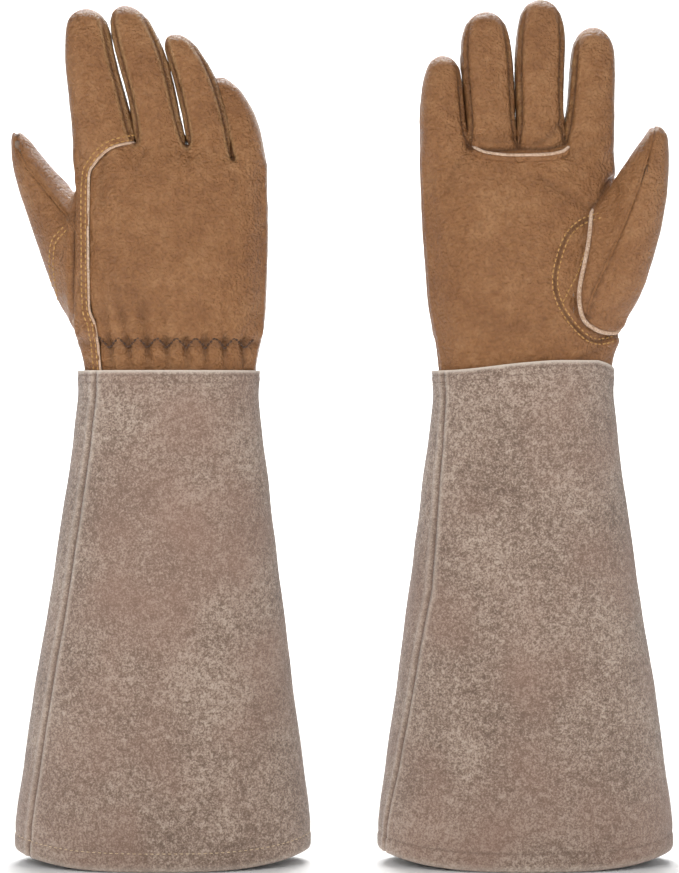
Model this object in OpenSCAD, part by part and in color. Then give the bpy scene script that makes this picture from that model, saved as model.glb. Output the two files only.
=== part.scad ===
// A pair of long-cuffed leather gardening gloves, standing open and upright on their hems.
// Each glove is drawn in its own frame: +X to the thumb side, +Y to the back of the hand,
// +Z to the fingertips. Glove 1 is turned half a turn about Z, so it shows its back to -Y.

/* [Cuff] */
// Height of the suede cuff
cuff_h = 274; // [260:1:280]
// Half width of the cuff at the hem
hem_half_w = 82; // [76:1:86]
// Half depth of the cuff at the hem
hem_half_d = 40; // [34:1:44]
// Half width of the cuff at the wrist
cuff_top_half_w = 50; // [49:1:52]
// Half depth of the cuff at the wrist
cuff_top_half_d = 25; // [24:1:27]
// Thickness of the suede
suede_t = 2; // [1.6:0.1:2.4]

/* [Hand] */
// Height of the wrist's lower edge, where the hand leather starts
hand_bottom_z = 297; // [296:1:298]
// Height of the top edge of the hand panels
hand_top_z = 400.5; // [398:0.5:400.5]
// Half width of the hand across the knuckles
palm_half_w = 54; // [52:0.5:55]
// Half depth of the hand at the heel of the palm
palm_half_d = 23; // [21:0.5:25]
// Thickness of the grain leather
leather_t = 1.4; // [1.2:0.1:1.8]

/* [Thumb] */
// Height of the middle of the thumb opening
thumb_hole_z = 334; // [332:1:336]
// Half height of the thumb opening
thumb_hole_half_h = 31; // [28:1:33]
// Half width of the thumb opening, in degrees round the hand
thumb_hole_half_a = 36; // [32:1:38]

/* [Stitching] */
// Width of a thread line
thread_w = 0.9; // [0.6:0.1:1.2]
// How far a thread line stands out
thread_t = 0.7; // [0.5:0.1:0.9]
// Distance between the two rows of a double seam
row_gap = 2.6; // [2.2:0.1:3.2]
// Number of zigzags across the back of the wrist
zigzags = 9; // [7:1:11]

/* [Hidden] */
clear = 0.4;
seam_gap = 0.5;
lift = 0.12;
tan_leather = [0.60, 0.43, 0.26];
dark_leather = [0.50, 0.35, 0.21];
suede = [0.60, 0.52, 0.46];
raw_edge = [0.76, 0.64, 0.55];
thread = [0.72, 0.55, 0.32];
elastic = [0.86, 0.84, 0.80];

// Angle round a section: 0 is the thumb side, 90 the back, 180 the little finger side, 270 the palm.
back_seam_a = 42;
little_seam_a = 200;
thumb_hole_a = 335;
full_turn = 360;

// Glove 1 shows its back and glove 2 its palm: middle of each glove on X.
glove_x = [-96, 104];
// How far each cuff leans: the sideways offset of its hem.
hem_shift = [3, 0];

// Each digit: base [x, y, z] in the middle of its fold, lean to the thumb side in degrees,
// sideways bend at the tip, length, half width at base and tip, half depth at base and tip.
index_finger = [
    [[36.4, 0, 405], 9.5, 0, 69, 14.6, 11.4, 13, 10.5],
    [[35.2, 0, 404.5], 2.5, 0.5, 58, 12.6, 12, 13, 10.5]];
middle_finger = [
    [[4.6, 0, 405], 12, 3, 71, 12.8, 10.8, 13, 10.5],
    [[8, 0, 404.5], 0, 0.5, 74, 12.4, 12.4, 13, 10.5]];
ring_finger = [
    [[-22, 0, 403.5], 11, 5, 57, 11, 9.6, 12.5, 10],
    [[-18.8, 0, 404.5], -2, -1, 67, 12.4, 12, 13, 10.5]];
little_finger = [
    [[-44, -1, 403.2], 12, 3, 35, 9, 8, 12, 9.5],
    [[-45.2, 0, 404.5], -1, 0, 42.5, 11.6, 10.2, 12.5, 10]];
thumb_digit = [
    [[66, -19, 369], 28, 0, 42, 16, 10, 12, 8],
    [[60.5, -19.5, 373], 18, 0, 39, 15.5, 10, 12, 8]];

PIECES = [
    "cuff_back_panel", "cuff_palm_panel", "cuff_side_stitching", "cuff_top_stitching",
    "cuff_hem_stitching", "wrist_gather", "wrist_elastic", "wrist_zigzag_stitching",
    "hand_back_panel", "hand_palm_panel", "back_seam_stitching", "finger_base_welt",
    "fork_gussets", "thumb_gusset", "thumb_welt", "thumb_stitching",
    "index_wrap", "index_fourchette", "middle_front", "middle_back", "middle_fourchettes",
    "ring_front", "ring_back", "ring_fourchettes", "little_front", "little_back",
    "little_fourchette", "thumb_outer", "thumb_inner"];
NODES = [for (g = [1, 2]) for (p = PIECES) str("glove", g, "_", p)];
node = "all";

// ---- Small helpers ----

function mix(a, b, s) = a + (b - a) * s;
function steps(a, b, n) = [for (i = [0 : n]) mix(a, b, i / n)];

// A point on a rounded section: power 1 is an ellipse, less is squarer.
function round_point(t, half_w, half_d, power) = [
    sign(cos(t)) * pow(abs(cos(t)), power) * half_w,
    sign(sin(t)) * pow(abs(sin(t)), power) * half_d];

// Straight-line reading of a table of rows whose first value rises.
function read(table, z, i = 0) =
    i >= len(table) - 2 || z <= table[i + 1][0]
        ? mix(table[i], table[i + 1], (z - table[i][0]) / (table[i + 1][0] - table[i][0]))
        : read(table, z, i + 1);

// ---- Surfaces: each gives the point at angle t and place s, d outside the leather's face ----

// Cuff sections: height, middle x, half width, half depth.
function cuff_table(g) = [
    [0, hem_shift[g], hem_half_w + 0.8, hem_half_d],
    [20, hem_shift[g], hem_half_w, hem_half_d - 1],
    [cuff_h * 0.85, -1, cuff_top_half_w + 3, cuff_top_half_d + 2.5],
    [cuff_h, -1, cuff_top_half_w, cuff_top_half_d]];

function cuff_face(g) = function (t, z, d)
    let (row = read(cuff_table(g), z), p = round_point(t, row[2] + d, row[3] + d, 0.95))
    [row[1] + p[0], p[1], z];

// Hand sections: height, middle x, half width, half depth, squareness.
hand_table = [
    [cuff_h, -0.5, cuff_top_half_w - 1.5, palm_half_d - 0.5, 0.92],
    [hand_bottom_z, -0.5, cuff_top_half_w - 0.5, palm_half_d, 0.9],
    [315, -1, palm_half_w - 2.5, palm_half_d + 0.5, 0.85],
    [340, -1.5, palm_half_w - 0.5, palm_half_d, 0.83],
    [370, -2, palm_half_w, palm_half_d - 2, 0.8],
    [387, -2, palm_half_w, palm_half_d - 5, 0.75],
    [hand_top_z, -2, palm_half_w - 0.5, palm_half_d - 7.5, 0.72]];

hand_face = function (t, z, d)
    let (row = read(hand_table, z), p = round_point(t, row[2] + d, row[3] + d, row[4]))
    [row[1] + p[0], p[1], z];

// A digit stands on its fold, leans sideways and closes in a dome. Place s runs from 0 to 1.
function digit_point(digit, power) = function (t, s, d)
    let (
        tip_r = mix(digit[4], digit[5], 1) * 0.95,
        dome = 1 - tip_r / digit[3],
        out = s <= dome ? 1 : sqrt(max(0, 1 - pow((s - dome) / (1 - dome), 2))),
        half_w = (mix(digit[4], digit[5], s) + d) * out,
        half_d = (mix(digit[6], digit[7], s) + d) * out,
        p = round_point(t, half_w, half_d, power),
        along = clear + s * (digit[3] - clear + d),
        across = p[0] + digit[2] * s * s,
        side = [cos(digit[1]), 0, -sin(digit[1])],
        up = [sin(digit[1]), 0, cos(digit[1])])
    digit[0] + side * across + up * along + [0, p[1] - (digit[6] - mix(digit[6], digit[7], s)) * 0.5, 0];

finger_power = 0.66;
function finger_face(digit) = digit_point(digit, finger_power);
function thumb_face(g) = digit_point(thumb_digit[g], 1);

// Places along a digit: the straight part, then rings closing over the dome.
dome_turns = [22, 44, 64, 80, 88];
function digit_rows(digit) =
    let (dome = 1 - digit[5] * 0.95 / digit[3])
    concat(steps(0, dome, 4), [for (a = dome_turns) dome + (1 - dome) * sin(a)]);

// The thumb gusset rises from an oval on the hand's face to the thumb's fold.
function gusset_face(g) = function (u, s, d)
    let (
        grow = 2.5,
        t = thumb_hole_a + (thumb_hole_half_a + grow + d) * cos(u),
        z = thumb_hole_z + (thumb_hole_half_h + grow + d) * sin(u),
        foot = hand_face(t, z, seam_gap),
        head = thumb_face(g)(u + 90, 0, d),
        up = [sin(thumb_digit[g][1]), 0, cos(thumb_digit[g][1])],
        top = head - up * 2 * clear,
        bulge = 3 * sin(180 * s))
    mix(foot, top, s) + bulge * [cos(u + 90) * 0.6, cos(u) * 0.6, 0];

// ---- Solids ----

// A thin solid between two offsets of a face. grid holds rows of [t, s] places. Cells inside
// gap = [first row, last row, first column, last column] are left out. A closed ring joins its
// last column to its first.
module skin(face, grid, d_out, d_in, gap = [0, 0, 0, 0], closed = false) {
    rows = len(grid);
    cols = len(grid[0]);
    per_side = rows * cols;
    col_cells = closed ? cols : cols - 1;
    points = [for (d = [d_out, d_in]) for (row = grid) for (place = row) face(place[0], place[1], d)];
    function id(i, j, side) = side * per_side + i * cols + (j % cols);
    function in_gap(i, j) = i >= gap[0] && i < gap[1] && j >= gap[2] && j < gap[3];
    function here(i, j) = i >= 0 && i < rows - 1
        && (closed || (j >= 0 && j < col_cells)) && !in_gap(i, j);
    function two(a, b, c, e) = [[a, b, c], [a, c, e]];
    faces = [for (i = [0 : rows - 2]) for (j = [0 : col_cells - 1]) if (here(i, j)) each concat(
        two(id(i, j, 0), id(i + 1, j, 0), id(i + 1, j + 1, 0), id(i, j + 1, 0)),
        two(id(i, j, 1), id(i, j + 1, 1), id(i + 1, j + 1, 1), id(i + 1, j, 1)),
        here(i - 1, j) ? [] : two(id(i, j, 1), id(i, j, 0), id(i, j + 1, 0), id(i, j + 1, 1)),
        here(i + 1, j) ? [] : two(id(i + 1, j, 0), id(i + 1, j, 1), id(i + 1, j + 1, 1), id(i + 1, j + 1, 0)),
        here(i, j - 1) ? [] : two(id(i, j, 0), id(i, j, 1), id(i + 1, j, 1), id(i + 1, j, 0)),
        here(i, j + 1) ? [] : two(id(i, j + 1, 1), id(i, j + 1, 0), id(i + 1, j + 1, 0), id(i + 1, j + 1, 1)))];
    polyhedron(points, faces);
}

// A panel between two angles, over a list of places.
module panel(face, angles, places, thickness) {
    skin(face, [for (s = places) [for (t = angles) [t, s]]], 0, -thickness);
}

// A thread line that runs along a route of [t, s] places, with its width along s.
module thread_along(face, route, width = thread_w) {
    color(thread)
        skin(face, [for (k = [-1, 1]) [for (p = route) [p[0], p[1] + k * width / 2]]], thread_t, lift);
}

// A thread line that runs up a face, with its width round the section.
module thread_up(face, route, width_a) {
    color(thread)
        skin(face, [for (p = route) [for (k = [-1, 1]) [p[0] + k * width_a / 2, p[1]]]], thread_t, lift);
}

// Stands a glove in the pair's frame.
module place(g) {
    translate([glove_x[g], 0, 0])
        rotate([0, 0, g == 0 ? 180 : 0])
            children();
}

// ---- Cuff ----

cuff_places = [0, 20, 80, 150, cuff_h * 0.85, cuff_h];
cuff_seam_a = [4, 184];
cuff_seam_gap_a = 0.5;

module cuff_back_panel(g) {
    color(suede)
        panel(cuff_face(g), steps(cuff_seam_a[0] + cuff_seam_gap_a, cuff_seam_a[1] - cuff_seam_gap_a, 14),
            cuff_places, suede_t);
}

module cuff_palm_panel(g) {
    color(suede)
        panel(cuff_face(g), steps(cuff_seam_a[1] + cuff_seam_gap_a, full_turn + cuff_seam_a[0] - cuff_seam_gap_a, 14),
            cuff_places, suede_t);
}

module cuff_side_stitching(g) {
    for (seam = cuff_seam_a)
        thread_up(cuff_face(g), [for (z = cuff_places) [seam + 2.5, min(max(z, 14), cuff_h - 12)]], 1);
}

// A ring of thread right round the cuff at one height.
module cuff_row(g, z) {
    color(thread)
        skin(cuff_face(g), [for (k = [-1, 1]) [for (t = [0 : 12 : 348]) [t, z + k * thread_w / 2]]],
            thread_t, lift, closed = true);
}

module cuff_top_stitching(g) {
    cuff_row(g, cuff_h - 3);
    cuff_row(g, cuff_h - 3 - row_gap * 1.6);
}

module cuff_hem_stitching(g) {
    cuff_row(g, 10.5);
}

// ---- Wrist ----

gather_bottom = cuff_h + 1;
gather_top = hand_bottom_z - 1;
zigzag_z = [284.5, 291];

module wrist_gather(g) {
    color(tan_leather)
        skin(hand_face, [for (z = steps(gather_bottom, gather_top, 3)) [for (t = [0 : 12 : 348]) [t, z]]],
            0, -leather_t, closed = true);
}

module wrist_elastic(g) {
    tape_t = 1;
    color(elastic)
        skin(hand_face, [for (z = zigzag_z) [for (t = steps(38, 150, 12)) [t, z]]],
            -leather_t - lift, -leather_t - lift - tape_t);
}

module wrist_zigzag_stitching(g) {
    thread_along(hand_face,
        [for (i = [0 : 2 * zigzags]) [mix(36, 152, i / (2 * zigzags)), zigzag_z[i % 2]]], 1.1);
}

// ---- Hand ----

hand_places = [hand_bottom_z, 315, 340, 356, 370, 387, hand_top_z];

module hand_back_panel(g) {
    color(tan_leather)
        panel(hand_face, steps(back_seam_a + seam_gap, little_seam_a - seam_gap, 14), hand_places, leather_t);
}

// The palm panel goes from the little finger side round the thumb side to the back seam,
// with an oval hole for the thumb.
module hand_palm_panel(g) {
    hole_rows = 6;
    least_a = 6;
    palm_cols = 10;
    hole_cols = 2;
    function half_a(turn) = max(least_a, thumb_hole_half_a * sin(turn));
    function hand_row(z, w) = [for (t = concat(
        steps(little_seam_a + seam_gap, thumb_hole_a - w, palm_cols),
        [thumb_hole_a],
        steps(thumb_hole_a + w, full_turn + back_seam_a - seam_gap, 3))) [t, z]];
    grid = concat(
        [hand_row(hand_bottom_z, least_a)],
        [for (i = [0 : hole_rows]) let (turn = i * 180 / hole_rows)
            hand_row(thumb_hole_z - thumb_hole_half_h * cos(turn), half_a(turn))],
        [hand_row(376, least_a), hand_row(387, least_a), hand_row(hand_top_z, least_a)]);
    color(tan_leather)
        skin(hand_face, grid, 0, -leather_t, gap = [1, 1 + hole_rows, palm_cols, palm_cols + hole_cols]);
}

// The double row starts at the fork beside the index finger and turns down to the wrist.
module back_seam_stitching(g) {
    route = [[66, 394], [56, 392], [48, 386], [45, 376], [45, 340], [46, 315], [48, 299]];
    for (k = [0, 1])
        thread_up(hand_face, [for (p = route) [p[0] + k * row_gap + 2, p[1] - k * row_gap]], 1);
}

module finger_base_welt(g) {
    welt_z = [389, 392.5];
    color(raw_edge)
        skin(hand_face, [for (z = welt_z) [for (t = steps(244, 296, 8)) [t, z]]], 1.4, lift);
}

// The bottoms of the three forks, across from palm to back between the fingers.
module fork_gussets(g) {
    digits = [index_finger[g], middle_finger[g], ring_finger[g], little_finger[g]];
    strip = [2.4, 22, 1.2];
    color(dark_leather)
        for (i = [0 : 2])
            translate([(digits[i][0][0] - digits[i][4] + digits[i + 1][0][0] + digits[i + 1][4]) / 2,
                0, hand_top_z - 3])
                cube(strip, center = true);
}

// ---- Thumb base ----

gusset_angles = [0 : 18 : 342];

module thumb_gusset(g) {
    color(tan_leather)
        skin(gusset_face(g), [for (s = steps(0, 1, 4)) [for (u = gusset_angles) [u, s]]],
            0, -leather_t, closed = true);
}

module thumb_welt(g) {
    welt_s = [0.02, 0.09];
    color(raw_edge)
        skin(gusset_face(g), [for (s = welt_s) [for (u = gusset_angles) [u, s]]], 1.3, lift, closed = true);
}

// Two rows of thread on the hand, round the palm side of the thumb's oval.
module thumb_stitching(g) {
    oval = function (u, s, d) hand_face(
        thumb_hole_a + (thumb_hole_half_a + s) * cos(u), thumb_hole_z + (thumb_hole_half_h + s) * sin(u), d);
    for (out = [4.6, 4.6 + row_gap])
        color(thread)
            skin(oval, [for (s = [out, out + 1]) [for (u = steps(95, 262, 14)) [u, s]]], lift, thread_t);
}

// ---- Fingers ----

// Part of a finger from angle a0 to a1 at its base, opening to tip_a0 and tip_a1 over the tip.
module finger_panel(digit, base_a, tip_a, cols) {
    places = digit_rows(digit);
    open_from = 0.45;
    grid = [for (s = places)
        let (k = max(0, min(1, (s - open_from) / (0.93 - open_from))))
        [for (c = steps(mix(base_a[0], tip_a[0], k), mix(base_a[1], tip_a[1], k), cols)) [c, s]]];
    color(tan_leather)
        skin(finger_face(digit), grid, 0, -leather_t);
}

// A narrow strip up the side of a finger, ending in a point below the tip.
module fourchette(digit, middle_a) {
    base_half_a = 38;
    end_s = 0.86;
    open_from = 0.45;
    grid = [for (s = concat(steps(0, open_from, 2), steps(open_from + 0.1, end_s, 4)))
        let (w = base_half_a * (1 - 0.93 * max(0, (s - open_from) / (end_s - open_from))))
        [for (t = steps(middle_a - w, middle_a + w, 4)) [t, s]]];
    color(dark_leather)
        skin(finger_face(digit), grid, -0.1, -leather_t);
}

corner = 42;

module index_wrap(g) {
    finger_panel(index_finger[g], [-180 + corner, 180 - corner], [-179, 179], 14);
}

module index_fourchette(g) {
    fourchette(index_finger[g], 180);
}

module middle_front(g) {
    finger_panel(middle_finger[g], [-180 + corner, -corner], [-179, -1], 6);
}

module middle_back(g) {
    finger_panel(middle_finger[g], [corner, 180 - corner], [1, 179], 6);
}

module middle_fourchettes(g) {
    fourchette(middle_finger[g], 0);
    fourchette(middle_finger[g], 180);
}

module ring_front(g) {
    finger_panel(ring_finger[g], [-180 + corner, -corner], [-179, -1], 6);
}

module ring_back(g) {
    finger_panel(ring_finger[g], [corner, 180 - corner], [1, 179], 6);
}

module ring_fourchettes(g) {
    fourchette(ring_finger[g], 0);
    fourchette(ring_finger[g], 180);
}

module little_front(g) {
    finger_panel(little_finger[g], [-179, -corner], [-179, -1], 8);
}

module little_back(g) {
    finger_panel(little_finger[g], [corner, 179], [1, 179], 8);
}

module little_fourchette(g) {
    fourchette(little_finger[g], 0);
}

// ---- Thumb ----

// Half of the thumb, from one ridge seam to the other.
module thumb_half(g, angles) {
    grid = [for (s = digit_rows(thumb_digit[g])) [for (t = angles) [t, s]]];
    skin(thumb_face(g), grid, 0, -leather_t);
}

module thumb_outer(g) {
    color(tan_leather)
        thumb_half(g, steps(-89, 89, 8));
}

module thumb_inner(g) {
    color(dark_leather)
        thumb_half(g, steps(91, 269, 8));
}

// ---- The pair ----

function wanted(g, piece) = node == "all" || node == str("glove", g + 1, "_", piece);

for (g = [0, 1]) place(g) {
    if (wanted(g, "cuff_back_panel")) cuff_back_panel(g);
    if (wanted(g, "cuff_palm_panel")) cuff_palm_panel(g);
    if (wanted(g, "cuff_side_stitching")) cuff_side_stitching(g);
    if (wanted(g, "cuff_top_stitching")) cuff_top_stitching(g);
    if (wanted(g, "cuff_hem_stitching")) cuff_hem_stitching(g);
    if (wanted(g, "wrist_gather")) wrist_gather(g);
    if (wanted(g, "wrist_elastic")) wrist_elastic(g);
    if (wanted(g, "wrist_zigzag_stitching")) wrist_zigzag_stitching(g);
    if (wanted(g, "hand_back_panel")) hand_back_panel(g);
    if (wanted(g, "hand_palm_panel")) hand_palm_panel(g);
    if (wanted(g, "back_seam_stitching")) back_seam_stitching(g);
    if (wanted(g, "finger_base_welt")) finger_base_welt(g);
    if (wanted(g, "fork_gussets")) fork_gussets(g);
    if (wanted(g, "thumb_gusset")) thumb_gusset(g);
    if (wanted(g, "thumb_welt")) thumb_welt(g);
    if (wanted(g, "thumb_stitching")) thumb_stitching(g);
    if (wanted(g, "index_wrap")) index_wrap(g);
    if (wanted(g, "index_fourchette")) index_fourchette(g);
    if (wanted(g, "middle_front")) middle_front(g);
    if (wanted(g, "middle_back")) middle_back(g);
    if (wanted(g, "middle_fourchettes")) middle_fourchettes(g);
    if (wanted(g, "ring_front")) ring_front(g);
    if (wanted(g, "ring_back")) ring_back(g);
    if (wanted(g, "ring_fourchettes")) ring_fourchettes(g);
    if (wanted(g, "little_front")) little_front(g);
    if (wanted(g, "little_back")) little_back(g);
    if (wanted(g, "little_fourchette")) little_fourchette(g);
    if (wanted(g, "thumb_outer")) thumb_outer(g);
    if (wanted(g, "thumb_inner")) thumb_inner(g);
}
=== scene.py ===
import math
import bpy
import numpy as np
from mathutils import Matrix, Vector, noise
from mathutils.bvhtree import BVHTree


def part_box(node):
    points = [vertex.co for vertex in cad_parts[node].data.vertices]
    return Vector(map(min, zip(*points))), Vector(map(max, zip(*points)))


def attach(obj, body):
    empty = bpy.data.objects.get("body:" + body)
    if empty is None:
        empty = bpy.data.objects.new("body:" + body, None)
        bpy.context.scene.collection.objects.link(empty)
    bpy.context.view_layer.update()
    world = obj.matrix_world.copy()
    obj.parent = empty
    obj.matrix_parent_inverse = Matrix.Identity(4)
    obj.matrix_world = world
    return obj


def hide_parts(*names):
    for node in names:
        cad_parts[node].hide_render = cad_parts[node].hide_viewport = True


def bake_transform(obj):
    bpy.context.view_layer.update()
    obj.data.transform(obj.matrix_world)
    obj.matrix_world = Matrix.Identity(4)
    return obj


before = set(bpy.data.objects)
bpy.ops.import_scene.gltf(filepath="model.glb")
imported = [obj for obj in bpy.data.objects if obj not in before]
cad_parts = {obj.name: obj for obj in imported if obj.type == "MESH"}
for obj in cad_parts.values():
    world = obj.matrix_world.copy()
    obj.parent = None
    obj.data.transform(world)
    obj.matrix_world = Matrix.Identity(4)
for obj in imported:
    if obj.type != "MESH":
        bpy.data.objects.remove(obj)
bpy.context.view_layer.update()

# %% [markdown]
# # A pair of leather gardening gloves
# Each glove is a hand of smooth tan grain leather sewn to a long flared cuff of brushed suede.
# The leather is cut in the old glover's way: a back panel, a palm that wraps round the thumb
# side and takes in the index finger, narrow fourchettes between the fingers, and a keystone
# thumb. This lesson models the leather as a coarse cage that subdivision makes smooth, sinks
# the seams into it, cuts it into its real panels, and then sews it with Geometry Nodes.

GLOVES = ("glove1", "glove2")
MM = 0.001

# %% [markdown]
# Each glove is drawn in millimetres in its own space: x to the thumb side, y to the back of
# the hand, z to the fingertips. The first glove shows its back, so it is turned half a turn
# about z. The turn and the middle of each glove are read from the frame.

# %% Where each glove stands
def node_box(glove, node):
    """Lowest and highest corner of a CAD node, in millimetres."""
    low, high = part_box(f"{glove}_{node}")
    return np.array(low) / MM, np.array(high) / MM


def facing(glove):
    """-1 for a glove that shows its back to the viewer, 1 for one that shows its palm."""
    back, palm = node_box(glove, "cuff_back_panel"), node_box(glove, "cuff_palm_panel")
    return 1 if back[0][1] + back[1][1] > palm[0][1] + palm[1][1] else -1


TURN = {g: facing(g) for g in GLOVES}
MIDDLE = {g: sum(c[0] for c in node_box(g, "wrist_gather")) / 2 for g in GLOVES}
CUFF_TOP = node_box("glove1", "cuff_back_panel")[1][2]
WRIST_TOP = node_box("glove1", "wrist_gather")[1][2]
print("turn", TURN, "middle", {g: round(m, 1) for g, m in MIDDLE.items()}, "cuff top", CUFF_TOP)


def placed(glove, points):
    """Points of a glove's own space, in millimetres, as metres in the row frame."""
    p = np.array(points, float).reshape(-1, 3)
    t = TURN[glove]
    return np.column_stack((MIDDLE[glove] + t * p[:, 0], t * p[:, 1], p[:, 2])) * MM


# %% [markdown]
# ## Camera, floor and light
# A product stand in a studio: a white sweep of paper, soft lights, and a level camera at the
# height of the wrists. A level camera keeps upright things upright, so it isn't tilted down to
# the hems: its lens is shifted down a little instead.

# %% Camera
VIEW_HEIGHT = 0.486
CAMERA_AWAY = 1.5
CAMERA_HEIGHT = 0.255
LOOK_HEIGHT = 0.2361
camera_data = bpy.data.cameras.new("camera")
camera_data.sensor_fit = "VERTICAL"
camera_data.sensor_height = 36
camera_data.lens = 36 * CAMERA_AWAY / VIEW_HEIGHT
camera_data.shift_y = (LOOK_HEIGHT - CAMERA_HEIGHT) / VIEW_HEIGHT
camera = bpy.data.objects.new("camera", camera_data)
bpy.context.scene.collection.objects.link(camera)
camera.location = (0, -CAMERA_AWAY, CAMERA_HEIGHT)
camera.rotation_euler = (math.pi / 2, 0, 0)
bpy.context.scene.camera = camera
print("lens", round(camera_data.lens, 1))

# %% [markdown]
# ## Small tools for materials
# Colours are given as sRGB hex values, as a paint chart gives them, and made linear by one
# function. One more function adds a shader node with its settings and its links.

# %% Colours and nodes
def linear(code):
    parts = [int(code[i:i + 2], 16) / 255 for i in (1, 3, 5)]
    return tuple(c / 12.92 if c <= 0.04045 else ((c + 0.055) / 1.055) ** 2.4 for c in parts) + (1,)


def add_node(tree, kind, links=None, values=None, **settings):
    """A node with its attributes, its input values and what its inputs are linked from. A colour
    mix names several sockets alike, so it goes by number: 0 the share, 6 and 7 the colours."""
    made = tree.nodes.new(kind)
    for name, value in settings.items():
        setattr(made, name, value)
    for name, value in (values or {}).items():
        made.inputs[name].default_value = value
    for name, source in (links or {}).items():
        tree.links.new(source, made.inputs[name])
    return made


def new_material(name, **constants):
    """A material with its shader, whose even values are set on the shader's own sockets."""
    material = bpy.data.materials.new(name)
    material.use_nodes = True
    shader = material.node_tree.nodes["Principled BSDF"]
    for socket, value in constants.items():
        shader.inputs[socket.replace("_", " ")].default_value = value
    return material, material.node_tree, shader


def ramp_of(tree, factor, stops, smooth=False):
    """A colour ramp from (place, hex colour) stops."""
    made = add_node(tree, "ShaderNodeValToRGB", {"Fac": factor})
    made.color_ramp.interpolation = "EASE" if smooth else "LINEAR"
    while len(made.color_ramp.elements) < len(stops):
        made.color_ramp.elements.new(0.5)
    for element, (place, colour) in zip(made.color_ramp.elements, stops):
        element.position, element.color = place, linear(colour)
    return made.outputs["Color"]


# %% Floor and lights
bpy.context.scene.view_settings.view_transform = "Standard"


def paper_sweep():
    """White paper that lies under the gloves and curves up behind them."""
    flat, rise, radius, half = 1.9, 2.2, 0.5, 3.0
    profile = [(-2.0, 0.0), (0.0, 0.0), (flat, 0.0)]
    for step in range(1, 17):
        turn = math.pi / 2 * step / 16
        profile.append((flat + radius * math.sin(turn), radius * (1 - math.cos(turn))))
    profile.append((flat + radius, rise))
    points = [(x, y, z - 0.0004) for x in (-half, half) for y, z in profile]
    n = len(profile)
    mesh = bpy.data.meshes.new("paper_sweep")
    mesh.from_pydata(points, [], [(i, i + n, i + n + 1, i + 1) for i in range(n - 1)])
    mesh.polygons.foreach_set("use_smooth", [True] * len(mesh.polygons))
    mesh.update()
    return mesh


paper, paper_tree, paper_shader = new_material("matt white paper", Roughness=0.9, IOR=1.45)
fibre = add_node(paper_tree, "ShaderNodeTexNoise", None, {"Scale": 60.0, "Detail": 4.0})
paper_tree.links.new(ramp_of(paper_tree, fibre.outputs["Fac"], [(0.3, "#F7F7F7"), (0.7, "#FFFFFF")]),
                     paper_shader.inputs["Base Color"])
sweep = bpy.data.objects.new("paper_sweep", paper_sweep())
sweep.data.materials.append(paper)
bpy.context.scene.collection.objects.link(sweep)


def soft_light(name, place, aim, size, power):
    """A square softbox at a place, turned to a point it is aimed at."""
    data = bpy.data.lights.new(name, "AREA")
    data.shape, data.size, data.energy = "SQUARE", size, power
    made = bpy.data.objects.new(name, data)
    made.location = place
    made.rotation_euler = (Vector(aim) - Vector(place)).to_track_quat("-Z", "Y").to_euler()
    bpy.context.scene.collection.objects.link(made)


soft_light("key_softbox", (-0.45, -1.5, 1.0), (0, 0, 0.25), 0.8, 12)
soft_light("fill_softbox", (1.1, -1.1, 0.7), (0, 0, 0.25), 0.9, 3)
soft_light("front_softbox", (-0.2, -1.9, 0.42), (0, 0, 0.3), 0.45, 10)
soft_light("sweep_light", (0, 1.6, 2.2), (0, 2.3, 0.3), 1.8, 120)
world = bpy.data.worlds.new("soft_room")
world.use_nodes = True
world.node_tree.nodes["Background"].inputs["Color"].default_value = linear("#FFFFFF")
world.node_tree.nodes["Background"].inputs["Strength"].default_value = 0.2
bpy.context.scene.world = world
print("floor and lights ready")
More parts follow.
